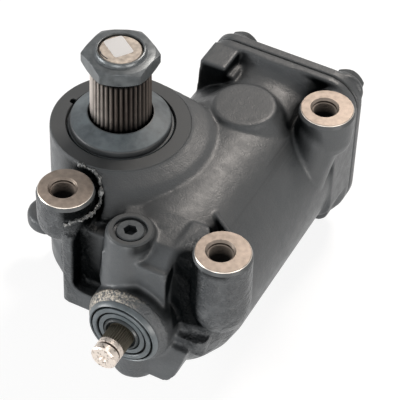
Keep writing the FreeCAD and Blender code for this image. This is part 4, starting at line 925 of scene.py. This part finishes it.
def white_floor():
    # White paper: plain matt white to the lamps, and for the camera partly lit from within, so that it shows
    # white and keeps the shadow of the object.
    bpy.ops.object.select_all(action="DESELECT")
    bpy.ops.mesh.primitive_plane_add(size=8.0, location=(0.0, 0.0, FLOOR_Z * MM))
    floor = named(bpy.context.object, "studio_floor")
    settle(floor)
    material = bpy.data.materials.new("white_paper_floor")
    material.use_nodes = True
    tree = material.node_tree
    tree.nodes.clear()
    seen = camera_or_mirror_ray(tree)
    paper = add(tree, "ShaderNodeBsdfDiffuse", {"Color": grey(0.85)}).outputs["BSDF"]
    shade = add(tree, "ShaderNodeBsdfDiffuse", {"Color": grey(0.25)}).outputs["BSDF"]
    glow = add(tree, "ShaderNodeEmission", {"Color": grey(1.0), "Strength": 0.86}).outputs["Emission"]
    shown = add(tree, "ShaderNodeAddShader", {0: shade, 1: glow}).outputs["Shader"]
    surface = add(tree, "ShaderNodeMixShader", {0: seen, 1: paper, 2: shown}).outputs["Shader"]
    add(tree, "ShaderNodeOutputMaterial", {"Surface": surface})
    floor.data.materials.append(material)


def white_world():
    # White to the camera and in reflections, and a faint fill from all round for everything else.
    world = bpy.data.worlds.new("studio_world")
    bpy.context.scene.world = world
    world.use_nodes = True
    tree = world.node_tree
    tree.nodes.clear()
    strength = ranged(tree, camera_or_mirror_ray(tree), 0.0, 1.0, 0.06, 1.0)
    sky = add(tree, "ShaderNodeBackground", {"Color": grey(1.0), "Strength": strength})
    add(tree, "ShaderNodeOutputWorld", {"Surface": sky.outputs["Background"]})


white_floor()
white_world()
lamp("back_key", (0.12, 1.05, 1.2), (0.05, 0.0, -0.05), (0.5, 0.4), 18.5, "#fff6ee")
lamp("left_softbox", (-1.3, -0.9, 0.1), (0.0, 0.0, -0.08), (0.9, 0.7), 26.0, "#ffffff")
lamp("right_softbox", (1.5, -0.55, 0.0), (0.08, 0.0, -0.08), (0.9, 0.6), 18.0, "#fffaf5")
lamp("front_fill", (0.45, -1.7, 0.15), (0.05, 0.0, -0.08), (1.0, 0.6), 14.0, "#ffffff")

# Camera as fitted to the photo. The angles are in radians, the focal length is in pixels of the photo, and
# the origin lies DISTANCE ahead of the eye, SIDE to its right and RISE up, in millimetres.
TURN, TILT, ROLL = 0.4595833201, 0.7865599176, 0.0382280703
FOCAL, DISTANCE, SIDE, RISE = 1922.74, 1560.30, -64.224, 63.677
IMAGE_WIDTH = 400.0


def photo_camera():
    forward = Vector((-math.sin(TURN) * math.cos(TILT), math.cos(TURN) * math.cos(TILT), -math.sin(TILT)))
    level = Vector((math.cos(TURN), math.sin(TURN), 0.0))
    upright = level.cross(forward)
    right = level * math.cos(ROLL) + upright * math.sin(ROLL)
    up = upright * math.cos(ROLL) - level * math.sin(ROLL)
    eye = -(right * SIDE + up * RISE + forward * DISTANCE) * MM
    data = bpy.data.cameras.new("photo_camera")
    data.sensor_width = 36.0
    data.lens = FOCAL / IMAGE_WIDTH * data.sensor_width
    data.clip_end = 20.0
    camera = bpy.data.objects.new("photo_camera", data)
    bpy.context.scene.collection.objects.link(camera)
    camera.matrix_world = Matrix(((right.x, up.x, -forward.x, eye.x),
                                  (right.y, up.y, -forward.y, eye.y),
                                  (right.z, up.z, -forward.z, eye.z),
                                  (0.0, 0.0, 0.0, 1.0)))
    bpy.context.scene.camera = camera


photo_camera()
bpy.context.scene.view_settings.view_transform = "Standard"
